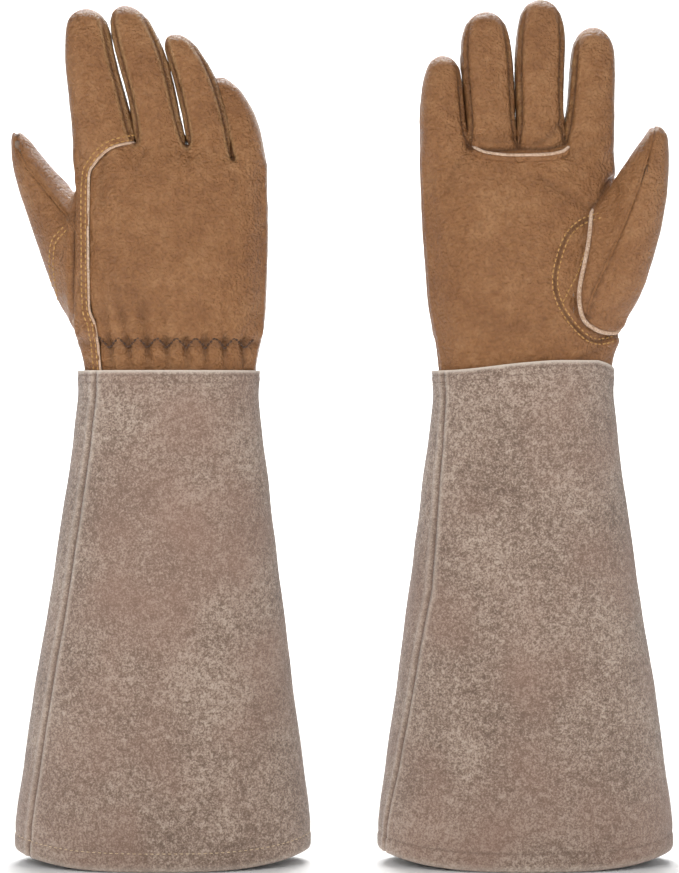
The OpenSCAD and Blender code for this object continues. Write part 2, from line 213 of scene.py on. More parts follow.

# %% [markdown]
# ### Full-grain glove leather
# Tan cowhide, drum dyed and lightly waxed. The grain side is a pattern of pebbles about a
# millimetre across, parted by fine furrows; the dye lies unevenly, handling has rubbed the high
# places lighter, and the seams, creases and pleats are darkened with painted shade. Its wax gives
# a soft, broad sheen.

# %% Grain leather
def grain_leather(name, dark, middle, light, pebble_mm=1.4):
    material, tree, shader = new_material(name, Roughness=0.42, IOR=1.5)
    place = add_node(tree, "ShaderNodeTexCoord").outputs["Object"]
    cloud = add_node(tree, "ShaderNodeTexNoise", {"Vector": place},
                     {"Scale": 38.0, "Detail": 5.0, "Roughness": 0.6})
    blotch = add_node(tree, "ShaderNodeTexNoise", {"Vector": place},
                      {"Scale": 210.0, "Detail": 3.0, "Roughness": 0.65})
    tone = add_node(tree, "ShaderNodeMath", {0: cloud.outputs["Fac"], 1: blotch.outputs["Fac"]},
                    operation="ADD")
    base = ramp_of(tree, add_node(tree, "ShaderNodeMath", {0: tone.outputs[0]}, {1: 0.5},
                                  operation="MULTIPLY").outputs[0],
                   [(0.36, dark), (0.5, middle), (0.64, light)])
    pebbles = add_node(tree, "ShaderNodeTexVoronoi", {"Vector": place},
                       {"Scale": 1000 / pebble_mm, "Randomness": 1.0}, feature="SMOOTH_F1")
    furrow = add_node(tree, "ShaderNodeMapRange", {"Value": pebbles.outputs["Distance"]},
                      {"From Min": 0.3, "From Max": 0.75, "To Min": 0.0, "To Max": 1.0})
    # Painted shade: this attribute darkens the seams, creases, pleats and the leather under the thumb's
    # welt towards a deep brown.
    fold = add_node(tree, "ShaderNodeAttribute", attribute_name="fold")
    worn = add_node(tree, "ShaderNodeAttribute", attribute_name="worn")
    darker = add_node(tree, "ShaderNodeMix", {0: fold.outputs["Fac"], 6: base},
                      {7: linear("#4E3019")}, data_type="RGBA")
    pale = add_node(tree, "ShaderNodeMix", {0: worn.outputs["Fac"], 6: darker.outputs[2]},
                    {7: linear("#C29E70")}, data_type="RGBA")
    grooves = add_node(tree, "ShaderNodeMath", {0: furrow.outputs[0]}, {1: 0.3}, operation="MULTIPLY")
    skin = add_node(tree, "ShaderNodeMix", {0: grooves.outputs[0], 6: pale.outputs[2]},
                    {7: linear("#6B4526")}, data_type="RGBA")
    tree.links.new(skin.outputs[2], shader.inputs["Base Color"])
    gloss = add_node(tree, "ShaderNodeMapRange", {"Value": blotch.outputs["Fac"]},
                     {"From Min": 0.3, "From Max": 0.7, "To Min": 0.3, "To Max": 0.44})
    tree.links.new(gloss.outputs[0], shader.inputs["Roughness"])
    fine = add_node(tree, "ShaderNodeTexNoise", {"Vector": place},
                    {"Scale": 2600.0, "Detail": 2.0, "Roughness": 0.5})
    height = add_node(tree, "ShaderNodeMath", {0: fine.outputs["Fac"], 1: furrow.outputs[0]},
                      operation="SUBTRACT")
    wrinkle = add_node(tree, "ShaderNodeTexNoise", {"Vector": place},
                       {"Scale": 330.0, "Detail": 4.0, "Roughness": 0.55, "Distortion": 0.6})
    low = add_node(tree, "ShaderNodeBump", {"Height": wrinkle.outputs["Fac"]},
                   {"Strength": 0.75, "Distance": 0.0014})
    bump = add_node(tree, "ShaderNodeBump", {"Height": height.outputs[0], "Normal": low.outputs[0]},
                    {"Strength": 1.0, "Distance": 0.0007})
    tree.links.new(bump.outputs[0], shader.inputs["Normal"])
    return material


GRAIN = grain_leather("tan grain cowhide", "#8A5C36", "#996940", "#A97A50")
# A darker copy of the grain leather for the fourchettes: its darker tone is painted shade between the
# fingers, its finer pebble the leather's own.
GRAIN_IN_PAINTED_SHADE = grain_leather("tan grain cowhide, fourchette cut", "#7A4F2B", "#8C5F38", "#A0764A", 1.2)
print("grain leather ready")

# %% [markdown]
# ### Brushed suede
# The flesh split of the hide, buffed so that its fibres stand up. It has no shine at all: the
# nap scatters the light, shows lighter and pinker where it was brushed one way, and is speckled
# by fibres too fine to see one by one, so the speckle here is drawn half a millimetre wide.

# %% Suede and raw edges
def suede(name, dark, middle, light, blush):
    material, tree, shader = new_material(name, Roughness=0.95, IOR=1.4, Specular_IOR_Level=0.2,
                                          Sheen_Weight=0.35, Sheen_Roughness=0.6)
    place = add_node(tree, "ShaderNodeTexCoord").outputs["Object"]
    brushed = add_node(tree, "ShaderNodeTexNoise", {"Vector": place},
                       {"Scale": 26.0, "Detail": 6.0, "Roughness": 0.62, "Distortion": 0.4})
    nap = add_node(tree, "ShaderNodeTexNoise", {"Vector": place},
                   {"Scale": 950.0, "Detail": 4.0, "Roughness": 0.75})
    clump = add_node(tree, "ShaderNodeTexNoise", {"Vector": place},
                     {"Scale": 330.0, "Detail": 3.0, "Roughness": 0.7})
    tone = add_node(tree, "ShaderNodeMath", {0: brushed.outputs["Fac"]}, {1: 0.15}, operation="MULTIPLY")
    for fibres, weight in ((nap, 0.56), (clump, 0.29)):
        tone = add_node(tree, "ShaderNodeMath", {0: fibres.outputs["Fac"], 2: tone.outputs[0]},
                        {1: weight}, operation="MULTIPLY_ADD")
    base = ramp_of(tree, tone.outputs[0], [(0.42, dark), (0.5, middle), (0.58, light)])
    patch = add_node(tree, "ShaderNodeTexNoise", {"Vector": place},
                     {"Scale": 17.0, "Detail": 3.0, "Roughness": 0.5})
    pink = add_node(tree, "ShaderNodeMapRange", {"Value": patch.outputs["Fac"]},
                    {"From Min": 0.45, "From Max": 0.75, "To Min": 0.0, "To Max": 0.6})
    blushed = add_node(tree, "ShaderNodeMix", {0: pink.outputs[0], 6: base},
                       {7: linear(blush)}, data_type="RGBA")
    # Painted shade: this attribute darkens the suede's grooves towards a greyish brown.
    fold = add_node(tree, "ShaderNodeAttribute", attribute_name="fold")
    folded = add_node(tree, "ShaderNodeMix", {0: fold.outputs["Fac"], 6: blushed.outputs[2]},
                      {7: linear("#6E5A4C")}, data_type="RGBA")
    worn = add_node(tree, "ShaderNodeAttribute", attribute_name="worn")
    rubbed = add_node(tree, "ShaderNodeMix", {0: worn.outputs["Fac"], 6: folded.outputs[2]},
                      {7: linear("#D6C8BA")}, data_type="RGBA")
    tree.links.new(rubbed.outputs[2], shader.inputs["Base Color"])
    height = add_node(tree, "ShaderNodeMath", {0: nap.outputs["Fac"], 1: clump.outputs["Fac"]},
                      operation="ADD")
    bump = add_node(tree, "ShaderNodeBump", {"Height": height.outputs[0]},
                    {"Strength": 0.8, "Distance": 0.0009})
    tree.links.new(bump.outputs[0], shader.inputs["Normal"])
    return material


SUEDE = suede("brushed suede, greige", "#6A5648", "#907A6B", "#B9A696", "#927262")
RAW_EDGE = suede("raw cut leather edge", "#A88468", "#C4A489", "#DCC3AB", "#CFA88C")

# %% [markdown]
# ### Thread and elastic
# The rows are sewn with a thick twisted cotton thread, dyed golden tan and waxed. The zigzag
# over the wrist's elastic is a dark brown polyester thread. The tape inside is woven rubber
# and cotton, ribbed across.

# %% Thread and elastic
def twisted_thread(name, dark, light):
    material, tree, shader = new_material(name, Roughness=0.62, IOR=1.5, Sheen_Weight=0.15)
    place = add_node(tree, "ShaderNodeTexCoord").outputs["Object"]
    ply = add_node(tree, "ShaderNodeTexNoise", {"Vector": place},
                   {"Scale": 900.0, "Detail": 3.0, "Roughness": 0.6})
    tree.links.new(ramp_of(tree, ply.outputs["Fac"], [(0.32, dark), (0.62, light)]),
                   shader.inputs["Base Color"])
    bump = add_node(tree, "ShaderNodeBump", {"Height": ply.outputs["Fac"]},
                    {"Strength": 0.5, "Distance": 0.0004})
    tree.links.new(bump.outputs[0], shader.inputs["Normal"])
    return material


GOLD_THREAD = twisted_thread("waxed golden tan thread", "#96692F", "#D0A362")
BROWN_THREAD = twisted_thread("dark brown polyester thread", "#2C1A10", "#5A3B26")
PALE_THREAD = twisted_thread("waxed pale tan thread", "#A98B69", "#DCC7A6")


def woven_elastic():
    material, tree, shader = new_material("woven elastic tape", Roughness=0.85, IOR=1.45)
    place = add_node(tree, "ShaderNodeTexCoord").outputs["Object"]
    ribs = add_node(tree, "ShaderNodeTexWave", {"Vector": place},
                    {"Scale": 320.0, "Distortion": 0.4, "Detail": 1.0}, bands_direction="Z")
    tree.links.new(ramp_of(tree, ribs.outputs["Fac"], [(0.2, "#CFC9BC"), (0.8, "#F1EDE2")]),
                   shader.inputs["Base Color"])
    bump = add_node(tree, "ShaderNodeBump", {"Height": ribs.outputs["Fac"]},
                    {"Strength": 0.5, "Distance": 0.0004})
    tree.links.new(bump.outputs[0], shader.inputs["Normal"])
    return material


ELASTIC = woven_elastic()
print("suede, thread and elastic ready")

# %% [markdown]
# ## The leather hand as a cage
# A glove's hand is one smooth skin that forks into fingers. The easiest way to a clean skin is a
# coarse cage of four-sided faces: thirty points round the hand in each row, twelve round each
# finger, eighteen round the thumb. Subdivision then rounds it. Each finger section is a soft
# rectangle, given as shares of its half width and half depth, from its thumb side on the palm
# round to the back.

# %% Sizes of the two hands
LEATHER = 1.4
CORNER_X, FACE_X, SIDE_X, HAND_SIDE_X = 0.88, 0.36, 1.03, 1.02
CORNER_Y, FACE_Y, SIDE_Y = 0.8, 1.05, 0.3
PALM_HALF = ((CORNER_X, -CORNER_Y), (FACE_X, -FACE_Y), (-FACE_X, -FACE_Y), (-CORNER_X, -CORNER_Y),
             (-SIDE_X, -SIDE_Y), (-SIDE_X, SIDE_Y))
SECTION = PALM_HALF + tuple((-x, -y) for x, y in PALM_HALF)
FINGERS = ("index", "middle", "ring", "little")
ROWS = (262, 270, 277, 283.5, 290, 297, 313, 329, 345, 361, 378, 388)
FINGER_ROOT = 397
HAND_DEPTH = ((262, 20.5), (283, 21.5), (297, 22.5), (315, 23.5), (340, 23), (370, 21), (388, 18),
              (FINGER_ROOT, 15.5))
ROUNDNESS = 2.6

# sides: z, little side, thumb side. A finger's base: x, half width, half depth, z of its palm
# side and z of its back; its rows: z, x, y, half width, half depth; its tip: z, x, y.
# The thumb's rows: x and z of its inner edge, x and z of its outer edge, y, half depth.
SHAPES = {
    "glove1": {
        "sides": ((262, -46.5, 45.5), (277, -48, 46), (283, -49.5, 47.5), (290, -51, 50),
                  (297, -52.5, 53), (307, -53.5, 54), (325, -54.5, 54), (397, -54.5, 52.5)),
        "forks": ((17, 396), (-11.5, 395.5), (-37.5, 385.5)),
        "index": ((34.6, 17.3, 14, 396, 399),
                  ((409, 36.3, 0, 16.9, 13.8), (424, 38.8, 0, 16, 13.2), (440, 42.2, 0, 14.3, 12.6),
                   (455, 44.2, 0, 13, 11.6), (464, 45, 0, 11.8, 10.2)), (473.5, 45.4, 0)),
        "middle": ((2.8, 14.2, 14, 391.5, 396),
                   ((408, 5.2, 0, 13.5, 13.8), (424, 8.6, 0, 13.3, 13.2), (440, 12.4, 0, 13.9, 12.6),
                    (455, 16.9, 0, 13.2, 11.4), (464, 20, 0, 11.6, 10)), (475.5, 24, 0)),
        "ring": ((-24.5, 12.9, 13.5, 390, 394),
                 ((405, -22.6, 0, 12.8, 13.3), (419, -19.8, -1, 12.6, 12.8), (433, -15.6, -1, 11.8, 12),
                  (444, -11.5, -1, 11, 11), (451, -7.8, -1, 9.6, 9.5)), (460, -3.8, -1)),
        "little": ((-44.5, 10.5, 12.5, 387, 388.5),
                   ((398, -43, -2, 10.3, 12.3), (408, -40.8, -4, 10, 12), (418, -37.6, -5, 9.6, 11),
                    (426, -33.8, -5, 8.6, 9.5)), (436, -28.7, -5)),
        "thumb": ((53, 372, 61, 306, -11, 17), (55, 375, 69, 329, -14, 15.5), (57, 378, 78, 354, -17, 13.5),
                  (61, 382, 86.5, 378, -19, 12), (69, 390, 89.5, 390, -20, 10.5),
                  (76, 398.5, 90, 400, -20.5, 8)),
        "thumb_tip": (86.5, 408, -20.5),
    },
    "glove2": {
        "sides": ((262, -46, 46), (277, -47.5, 47.5), (283, -48.5, 48.5), (290, -49.5, 52),
                  (297, -51, 54.5), (311, -54, 54.5), (340, -55.5, 52.5), (370, -57.5, 50),
                  (397, -58.6, 48.6)),
        "forks": ((21, 398.5), (-4.8, 394.5), (-31.7, 395)),
        "index": ((34.9, 13.9, 14, 397, 399),
                  ((408, 35.4, 0, 13.5, 13.8), (424, 36.4, 0, 12.9, 13.2), (440, 37.2, 0, 12.5, 12.4),
                   (451, 37.6, 0, 11.8, 11)), (463, 37.8, 0)),
        "middle": ((8.2, 13.1, 14, 392.5, 397),
                   ((410, 7.9, 0, 13.1, 13.8), (428, 7.7, 0, 13.3, 13.3), (446, 7.9, 0, 13.8, 12.8),
                    (460, 8.3, 0, 13.6, 11.5), (468, 8.5, 0, 12, 10)), (478.5, 8.7, 0)),
        "ring": ((-18.2, 13.4, 14, 391.5, 396),
                 ((410, -19.2, 0, 13.5, 13.8), (428, -20.4, 0, 13.9, 13.3), (444, -21.6, 0, 14.4, 12.6),
                  (455, -22, 0, 13.8, 11.4), (462, -22.2, 0, 12, 10)), (472, -22.3, 0)),
        "little": ((-45.2, 13.4, 13.5, 394, 396),
                   ((408, -45.9, 0, 12.9, 13.2), (420, -46.3, 0, 12.2, 12.6), (432, -46.3, 0, 11, 11.4),
                    (439, -46, 0, 9.5, 10)), (447.5, -45.9, 0)),
        "thumb": ((46, 374, 61, 307, -13, 17), (47.5, 377.5, 66, 325, -17, 15),
                  (50.5, 382, 73, 348, -19, 13.5), (54, 387.5, 77.5, 372, -20, 12),
                  (59, 395, 77.5, 388, -20.5, 10.5),
                  (64.5, 401.5, 77, 399, -20.5, 8)),
        "thumb_tip": (71.5, 406.5, -20.5),
    },
}
# The hole that the thumb is set into, between two rows of the hand and four faces wide. Its
# points go clockwise from its upper back: x, z and the side, 1 for the back and -1 for the palm.
HOLE_LOW, HOLE_HIGH, HOLE_WIDE = 5, 10, 4
THUMB_HOLE = ((50, 372, 1), (51, 358, 1), (51.5, 345, 1), (51.5, 331, 1), (51.5, 317, 1), (51, 304, 1),
              (51, 294, -1), (44, 290.5, -1), (33, 291, -1), (24.5, 297, -1), (20, 307.5, -1),
              (24, 319.5, -1), (29.5, 331.5, -1), (33.5, 344, -1), (35.5, 356, -1), (40, 366.5, -1),
              (45, 375, -1), (50, 381, -1))
# Where those points lie round the thumb, in degrees, and how square and full its section is.
THUMB_TURNS = (45, 27, 9, -9, -27, -45, -67.5, -90, -112.5, -135, -153, -171, -189, -207, -225, -247.5,
               -270, -292.5)
THUMB_SQUARE, THUMB_FULL = 1.85, 1.03
# A dome on a fingertip or thumb tip: how far up, and how much of the last row's size is left.
FINGER_DOME = ((0.55, 0.83), (0.9, 0.48))
THUMB_DOME = ((0.45, 0.82), (0.85, 0.45))
print(len(THUMB_HOLE), "points round the thumb hole")

# %% The cage and its sections
class Cage:
    """Points, four-sided faces, and the panel of leather that each face belongs to."""

    def __init__(self):
        self.points, self.faces, self.panels = [], [], []

    def point(self, x, y, z):
        self.points.append((x, y, z))
        return len(self.points) - 1

    def band(self, lower, upper, panels):
        """Faces between two loops that run clockwise seen from above. No panel leaves a hole."""
        for j, panel in enumerate(panels):
            k = (j + 1) % len(lower)
            if panel:
                self.faces.append((lower[j], upper[j], upper[k], lower[k]))
                self.panels.append(panel)

    def cap(self, loop, across, panel_at, lift):
        """Closes a clockwise loop by a grid of faces, so that there is no pole. lift raises it."""
        deep = len(loop) // 2 - across
        corner = np.array([self.points[i] for i in loop])
        grid = [[None] * (deep + 1) for _ in range(across + 1)]
        for i in range(across + 1):
            grid[i][0], grid[i][deep] = loop[i], loop[(2 * across + deep - i) % len(loop)]
        for j in range(deep + 1):
            grid[across][j], grid[0][j] = loop[across + j], loop[-j]
        place = {v: corner[k] for k, v in enumerate(loop)}
        for i in range(1, across):
            for j in range(1, deep):
                s, t = i / across, j / deep
                p = ((1 - s) * place[grid[0][j]] + s * place[grid[across][j]]
                     + (1 - t) * place[grid[i][0]] + t * place[grid[i][deep]]
                     - (1 - s) * (1 - t) * corner[0] - s * (1 - t) * place[grid[across][0]]
                     - (1 - s) * t * place[grid[0][deep]] - s * t * place[grid[across][deep]])
                grid[i][j] = self.point(*(p + np.array(lift)))
        for i in range(across):
            for j in range(deep):
                self.faces.append((grid[i][j], grid[i][j + 1], grid[i + 1][j + 1], grid[i + 1][j]))
                self.panels.append(panel_at(j))


def at_height(rows, z):
    """Values of a list of (z, value, ...) rows at a height."""
    heights = [r[0] for r in rows]
    return [float(np.interp(z, heights, [r[k] for r in rows])) for k in range(1, len(rows[0]))]


def bow(share):
    """How deep the hand's section is at a share of its half width."""
    return max(0.0, 1 - min(abs(share), 0.995) ** ROUNDNESS) ** (1 / ROUNDNESS)


def on_hand(shape, x, z, side):
    """A point of the hand's outside at x and z, on its back (1) or its palm (-1)."""
    little, thumb = at_height(shape["sides"], z)
    share = (x - (little + thumb) / 2) / ((thumb - little) / 2)
    return x, side * at_height(HAND_DEPTH, z)[0] * bow(share), z


print("bow at half width", round(bow(0.5), 2))

# %% One hand
FOURCHETTES = {"index": "index_fourchette", "middle": "middle_fourchettes", "ring": "ring_fourchettes",
               "little": "little_fourchette"}


def finger_panels(finger, tip=False):
    """The panel of each of the twelve faces round a finger. The fourchettes stop below the tip."""
    front = "index_wrap" if finger == "index" else finger + "_front"
    back = "index_wrap" if finger == "index" else finger + "_back"
    slit = FOURCHETTES[finger]
    outer_side = [front, back, back] if finger == "little" or tip else [slit] * 3
    thumb_side = [back] * 3 if finger == "index" else [back, back, front] if tip else [slit] * 3
    return [front] * 3 + outer_side + [back] * 3 + thumb_side


def hand_panels(z):
    """The panel of each of the thirty faces round the hand, below the wrist line or above it."""
    palm, back = ("gather_palm", "gather_back") if z < WRIST_TOP - 1 else ("palm_panel", "back_panel")
    return [palm] * 15 + [back] * 14 + [palm]


def add_hand(cage, shape):
    """The hand from inside the cuff to the forks. Gives the loop of points for each finger."""
    bases = [shape[f][0] for f in FINGERS]
    columns = []
    for k, (x, w, *_) in enumerate(bases):
        columns += [x + CORNER_X * w] if k == 0 else [shape["forks"][k - 1][0]]
        columns += [x + FACE_X * w, x - FACE_X * w]
    columns.append(bases[3][0] - CORNER_X * bases[3][1])
    little, thumb = at_height(shape["sides"], shape["sides"][-1][0])
    shares = [(x - (little + thumb) / 2) / ((thumb - little) / 2) for x in columns]
    rings = []
    for z in ROWS:
        (little, thumb), b = at_height(shape["sides"], z), at_height(HAND_DEPTH, z)[0]
        middle, half = (little + thumb) / 2, (thumb - little) / 2
        outline = [(HAND_SIDE_X, SIDE_Y), (HAND_SIDE_X, -SIDE_Y)] + [(u, -bow(u)) for u in shares]
        outline += [(-HAND_SIDE_X, -SIDE_Y), (-HAND_SIDE_X, SIDE_Y)]
        outline += [(u, bow(u)) for u in reversed(shares)]
        rings.append([cage.point(middle + half * u, b * v, z) for u, v in outline])
    rows = range(HOLE_LOW, HOLE_HIGH + 1)
    hole = [rings[r][0] for r in reversed(rows)] + rings[HOLE_LOW][1:HOLE_WIDE]
    hole += [rings[r][HOLE_WIDE] for r in rows] + rings[HOLE_HIGH][HOLE_WIDE - 1:0:-1]
    for v, (x, z, side) in zip(hole, THUMB_HOLE):
        cage.points[v] = on_hand(shape, x, z, side)
    for r, (lower, upper) in enumerate(zip(rings, rings[1:])):
        panels = hand_panels(ROWS[r])
        if HOLE_LOW <= r < HOLE_HIGH:
            panels[:HOLE_WIDE] = [None] * HOLE_WIDE
        cage.band(lower, upper, panels)
    return rings[-1], hole


def add_forks(cage, shape, below):
    """The row of points at the fingers' base, with two more across each fork."""
    bases = [shape[f][0] for f in FINGERS]
    fronts, backs, across = [], [], []
    for k, (x, w, d, front_z, back_z) in enumerate(bases):
        for row, side, z in ((fronts, -1, front_z), (backs, 1, back_z)):
            edge = shape["forks"][k - 1] if k else (x + CORNER_X * w, z)
            drop = 1 if k and side < 0 else 0
            row += [(edge[0], side * CORNER_Y * d, edge[1] - drop),
                    (x + FACE_X * w, side * FACE_Y * d, z), (x - FACE_X * w, side * FACE_Y * d, z)]
    x, w, d, front_z, back_z = bases[3]
    fronts.append((x - CORNER_X * w, -CORNER_Y * d, front_z))
    backs.append((x - CORNER_X * w, CORNER_Y * d, back_z))
    little, thumb = at_height(shape["sides"], FINGER_ROOT)
    y0, z0, y3, z3 = SIDE_Y * bases[0][2], bases[0][4], SIDE_Y * bases[3][2], bases[3][4]
    ring = [(thumb, y0, z0 - 1), (thumb, -y0, z0 - 2)] + fronts
    ring += [(little, -y3, z3), (little, y3, z3)] + backs[::-1]
    ids = [cage.point(*p) for p in ring]
    cage.band(below, ids, hand_panels(FINGER_ROOT))
    for x, z in shape["forks"]:
        across.append([cage.point(x, -y0, z - 1), cage.point(x, y0, z - 1)])
    loops = []
    for k in range(4):
        front, back = ids[2 + 3 * k:6 + 3 * k], ids[17 + 3 * (3 - k):21 + 3 * (3 - k)]
        little_side = across[k] if k < 3 else ids[15:17]
        thumb_side = across[k - 1][::-1] if k else ids[0:2]
        loops.append(front + little_side + back + thumb_side)
    return loops


def add_finger(cage, finger, data, base):
    _, rows, (tip_z, tip_x, tip_y) = data
    z, x, y, w, d = rows[-1]
    rise = tip_z - z
    domes = [(z + rise * up, x + (tip_x - x) * up, y + (tip_y - y) * up, w * size, d * size)
             for up, size in FINGER_DOME]
    last, rows = base, list(rows) + domes
    for k, (z, x, y, w, d) in enumerate(rows):
        ring = [cage.point(x + sx * w, y + sy * d, z) for sx, sy in SECTION]
        cage.band(last, ring, finger_panels(finger, k >= len(rows) - 1))
        last = ring
    panels = finger_panels(finger, True)
    cage.cap(last, 3, lambda j: panels[0] if j == 0 else panels[7], (0, 0, rise * 0.16))


def add_thumb(cage, shape, hole):
    last = hole
    rows = [(np.array(r[0:4]), r[4], r[5]) for r in shape["thumb"]]
    ends, y, d = rows[-1]
    x, z, tip_y = shape["thumb_tip"]
    centre = np.array([(ends[0] + ends[2]) / 2, (ends[1] + ends[3]) / 2] * 2)
    tip = np.array([x, z] * 2)
    for up, size in THUMB_DOME:
        rows.append((centre + (tip - centre) * up + (ends - centre) * size,
                     y + (tip_y - y) * up, d * size))
    for ends, y, d in rows:
        centre, half = (ends[0:2] + ends[2:4]) / 2, (ends[2:4] - ends[0:2]) / 2
        ring = []
        for turn in THUMB_TURNS:
            c, s = math.cos(math.radians(turn)), math.sin(math.radians(turn))
            c, s = (THUMB_FULL * math.copysign(abs(v) ** (2 / THUMB_SQUARE), v) for v in (c, s))
            ring.append(cage.point(centre[0] - half[0] * s, y + d * c, centre[1] - half[1] * s))
        cage.band(last, ring, ["thumb_inner"] * len(ring))
        last = ring
    lift = (tip[:2] - centre) * 0.5
    cage.cap(last[2:] + last[:2], 5, lambda j: "thumb_inner", (lift[0], 0, lift[1]))


def hand_cage(shape):
    cage = Cage()
    top, hole = add_hand(cage, shape)
    for finger, base in zip(FINGERS, add_forks(cage, shape, top)):
        add_finger(cage, finger, shape[finger], base)
    add_thumb(cage, shape, hole)
    return cage


cages = {g: hand_cage(SHAPES[g]) for g in GLOVES}
print({g: (len(c.points), len(c.faces)) for g, c in cages.items()})

# %% [markdown]
# ## From the cage to a smooth skin
# A Subdivision Surface modifier rounds the cage; each small face keeps the panel of the cage
# face it came from. The result is read back as arrays, because the seams, folds and gathers are
# worked out on it by distance, which no modifier does.

# %% Subdivided skin
PANELS = []
SMOOTH_LEVELS = 3


def panel_code(name):
    if name not in PANELS:
        PANELS.append(name)
    return PANELS.index(name)


def mesh_of(name, points, faces):
    mesh = bpy.data.meshes.new(name)
    mesh.from_pydata([tuple(p) for p in points], [], [tuple(f) for f in faces])
    mesh.update()
    return mesh


def subdivided(cage):
    """Points, faces and panel codes of the cage after subdivision."""
    mesh = mesh_of("cage", cage.points, cage.faces)
    codes = mesh.attributes.new("panel", "INT", "FACE")
    codes.data.foreach_set("value", [panel_code(p) for p in cage.panels])
    worker = bpy.data.objects.new("cage", mesh)
    bpy.context.scene.collection.objects.link(worker)
    rounding = worker.modifiers.new("rounding", "SUBSURF")
    rounding.levels = rounding.render_levels = SMOOTH_LEVELS
    smooth = worker.evaluated_get(bpy.context.evaluated_depsgraph_get()).to_mesh()
    points = np.empty(len(smooth.vertices) * 3)
    smooth.vertices.foreach_get("co", points)
    corners = np.empty(len(smooth.polygons) * 4, int)
    smooth.polygons.foreach_get("vertices", corners)
    panels = np.empty(len(smooth.polygons), int)
    smooth.attributes["panel"].data.foreach_get("value", panels)
    bpy.data.objects.remove(worker)
    return points.reshape(-1, 3), corners.reshape(-1, 4), panels


def face_normals(points, faces):
    """Area-weighted normals. A triangle is written as a face whose last corner is -1."""
    p = points[faces]
    last = np.where(faces[:, 3:4] < 0, p[:, 0], p[:, 3])
    return np.cross(p[:, 2] - p[:, 0], last - p[:, 1]) / 2


def point_normals(points, faces, keys=None):
    """A unit normal for each point, or for each group of points that share a key."""
    keys = np.arange(len(points)) if keys is None else keys
    total = np.zeros((keys.max() + 1, 3))
    normals = face_normals(points, faces)
    for k in range(4):
        used = faces[:, k] >= 0
        np.add.at(total, keys[faces[used, k]], normals[used])
    length = np.linalg.norm(total, axis=1, keepdims=True)
    return (total / np.maximum(length, 1e-9))[keys]


skins = {g: subdivided(c) for g, c in cages.items()}
for g, (points, faces, _) in skins.items():
    volume = (points[faces[:, 0]] * face_normals(points, faces)).sum() / 3
    print(g, len(points), "points,", len(faces), "faces, volume", round(volume / 1000), "ml")

# %% [markdown]
# ## Cutting lines that cross the cage
# Four seams don't follow the cage: the lap of the palm's leather on the back, the oval round the
# thumb, and the thumb's own seam, once on each side. Each is a smooth line in the x z plane.
# Points of the skin near a line are moved onto it, faces that it crosses are split corner to
# corner, and the faces on its right become another panel.

# %% Lines and cuts
def smooth_line(points, step=1.0):
    """A Catmull-Rom line through points, in steps of about a millimetre."""
    p = np.array(points, float)
    p = np.vstack((2 * p[0] - p[1], p, 2 * p[-1] - p[-2]))
    out = []
    for a, b, c, d in zip(p, p[1:], p[2:], p[3:]):
        for t in np.arange(0, 1, step / max(np.linalg.norm(c - b), step)):
            out.append(0.5 * (2 * b + (c - a) * t + (2 * a - 5 * b + 4 * c - d) * t ** 2
                              + (3 * b - 3 * c + d - a) * t ** 3))
    out.append(p[-2])
    return np.array(out)


def from_line(line, points):
    """Distance of points from a line, positive on its right, and the nearest points on it."""
    a, d = line[:-1], line[1:] - line[:-1]
    rel = points[:, None] - a[None]
    t = np.clip((rel * d).sum(2) / (d * d).sum(1), 0, 1)
    near = a + t[..., None] * d
    gaps = np.linalg.norm(points[:, None] - near, axis=2)
    row, best = np.arange(len(points)), gaps.argmin(1)
    cross = d[best, 0] * rel[row, best, 1] - d[best, 1] * rel[row, best, 0]
    return -np.sign(cross) * gaps[row, best], near[row, best]


def offset_line(line, right):
    """The line moved to its right by some millimetres."""
    along = np.gradient(line, axis=0)
    along /= np.linalg.norm(along, axis=1, keepdims=True)
    return line + right * np.column_stack((along[:, 1], -along[:, 0]))


def cut(skin, line, side, changes, by_place=False):
    """Splits a skin's panels along a line on one side of the hand. changes says which become what.
    A face is on that side if it looks that way or, by place, if it lies on that half."""
    points, faces, panels = skin
    normals = face_normals(points, faces)
    wanted = np.isin(panels, [panel_code(p) for p in changes])
    if by_place:
        wanted &= side * points[faces[:, 0], 1] > -2
    else:
        wanted &= side * normals[:, 1] > -0.35 * np.linalg.norm(normals, axis=1)
    used = np.unique(faces[wanted])
    used = used[used >= 0]
    low, high = line.min(0) - 3, line.max(0) + 3
    flat = points[used][:, [0, 2]]
    gap, near = from_line(line, flat)
    edge = np.zeros(len(points))
    step = np.linalg.norm(points[faces[wanted, 0]] - points[faces[wanted, 2]], axis=1) / 1.41
    np.maximum.at(edge, faces[wanted, 0], step)
    np.maximum.at(edge, faces[wanted, 2], step)
    snap = (np.abs(gap) < 0.5 * edge[used]) & (flat > low).all(1) & (flat < high).all(1)
    points[used[snap], 0], points[used[snap], 2] = near[snap, 0], near[snap, 1]
    sign = np.zeros(len(points))
    sign[used] = np.where(snap, 0, np.sign(gap))
    new_faces, new_panels = [], []
    renamed = {panel_code(a): panel_code(b) for a, b in changes.items()}
    for f in np.flatnonzero(wanted):
        s = sign[faces[f]]
        if faces[f, 3] >= 0 and s.min() < 0 < s.max() and (s[0] == s[2] == 0 or s[1] == s[3] == 0):
            turn = 0 if s[0] == s[2] == 0 else 1
            v = np.roll(faces[f], -turn)
            halves = [(v[0], v[1], v[2], -1), (v[2], v[3], v[0], -1)]
            faces[f] = halves[0]
            new_faces.append(halves[1])
            new_panels.append(renamed[panels[f]] if sign[v[3]] > 0 else panels[f])
            s = sign[[v[1]]]
        if s.sum() > 0:
            panels[f] = renamed[panels[f]]
    if new_faces:
        faces, panels = np.vstack((faces, new_faces)), np.append(panels, new_panels)
    return points, faces, panels


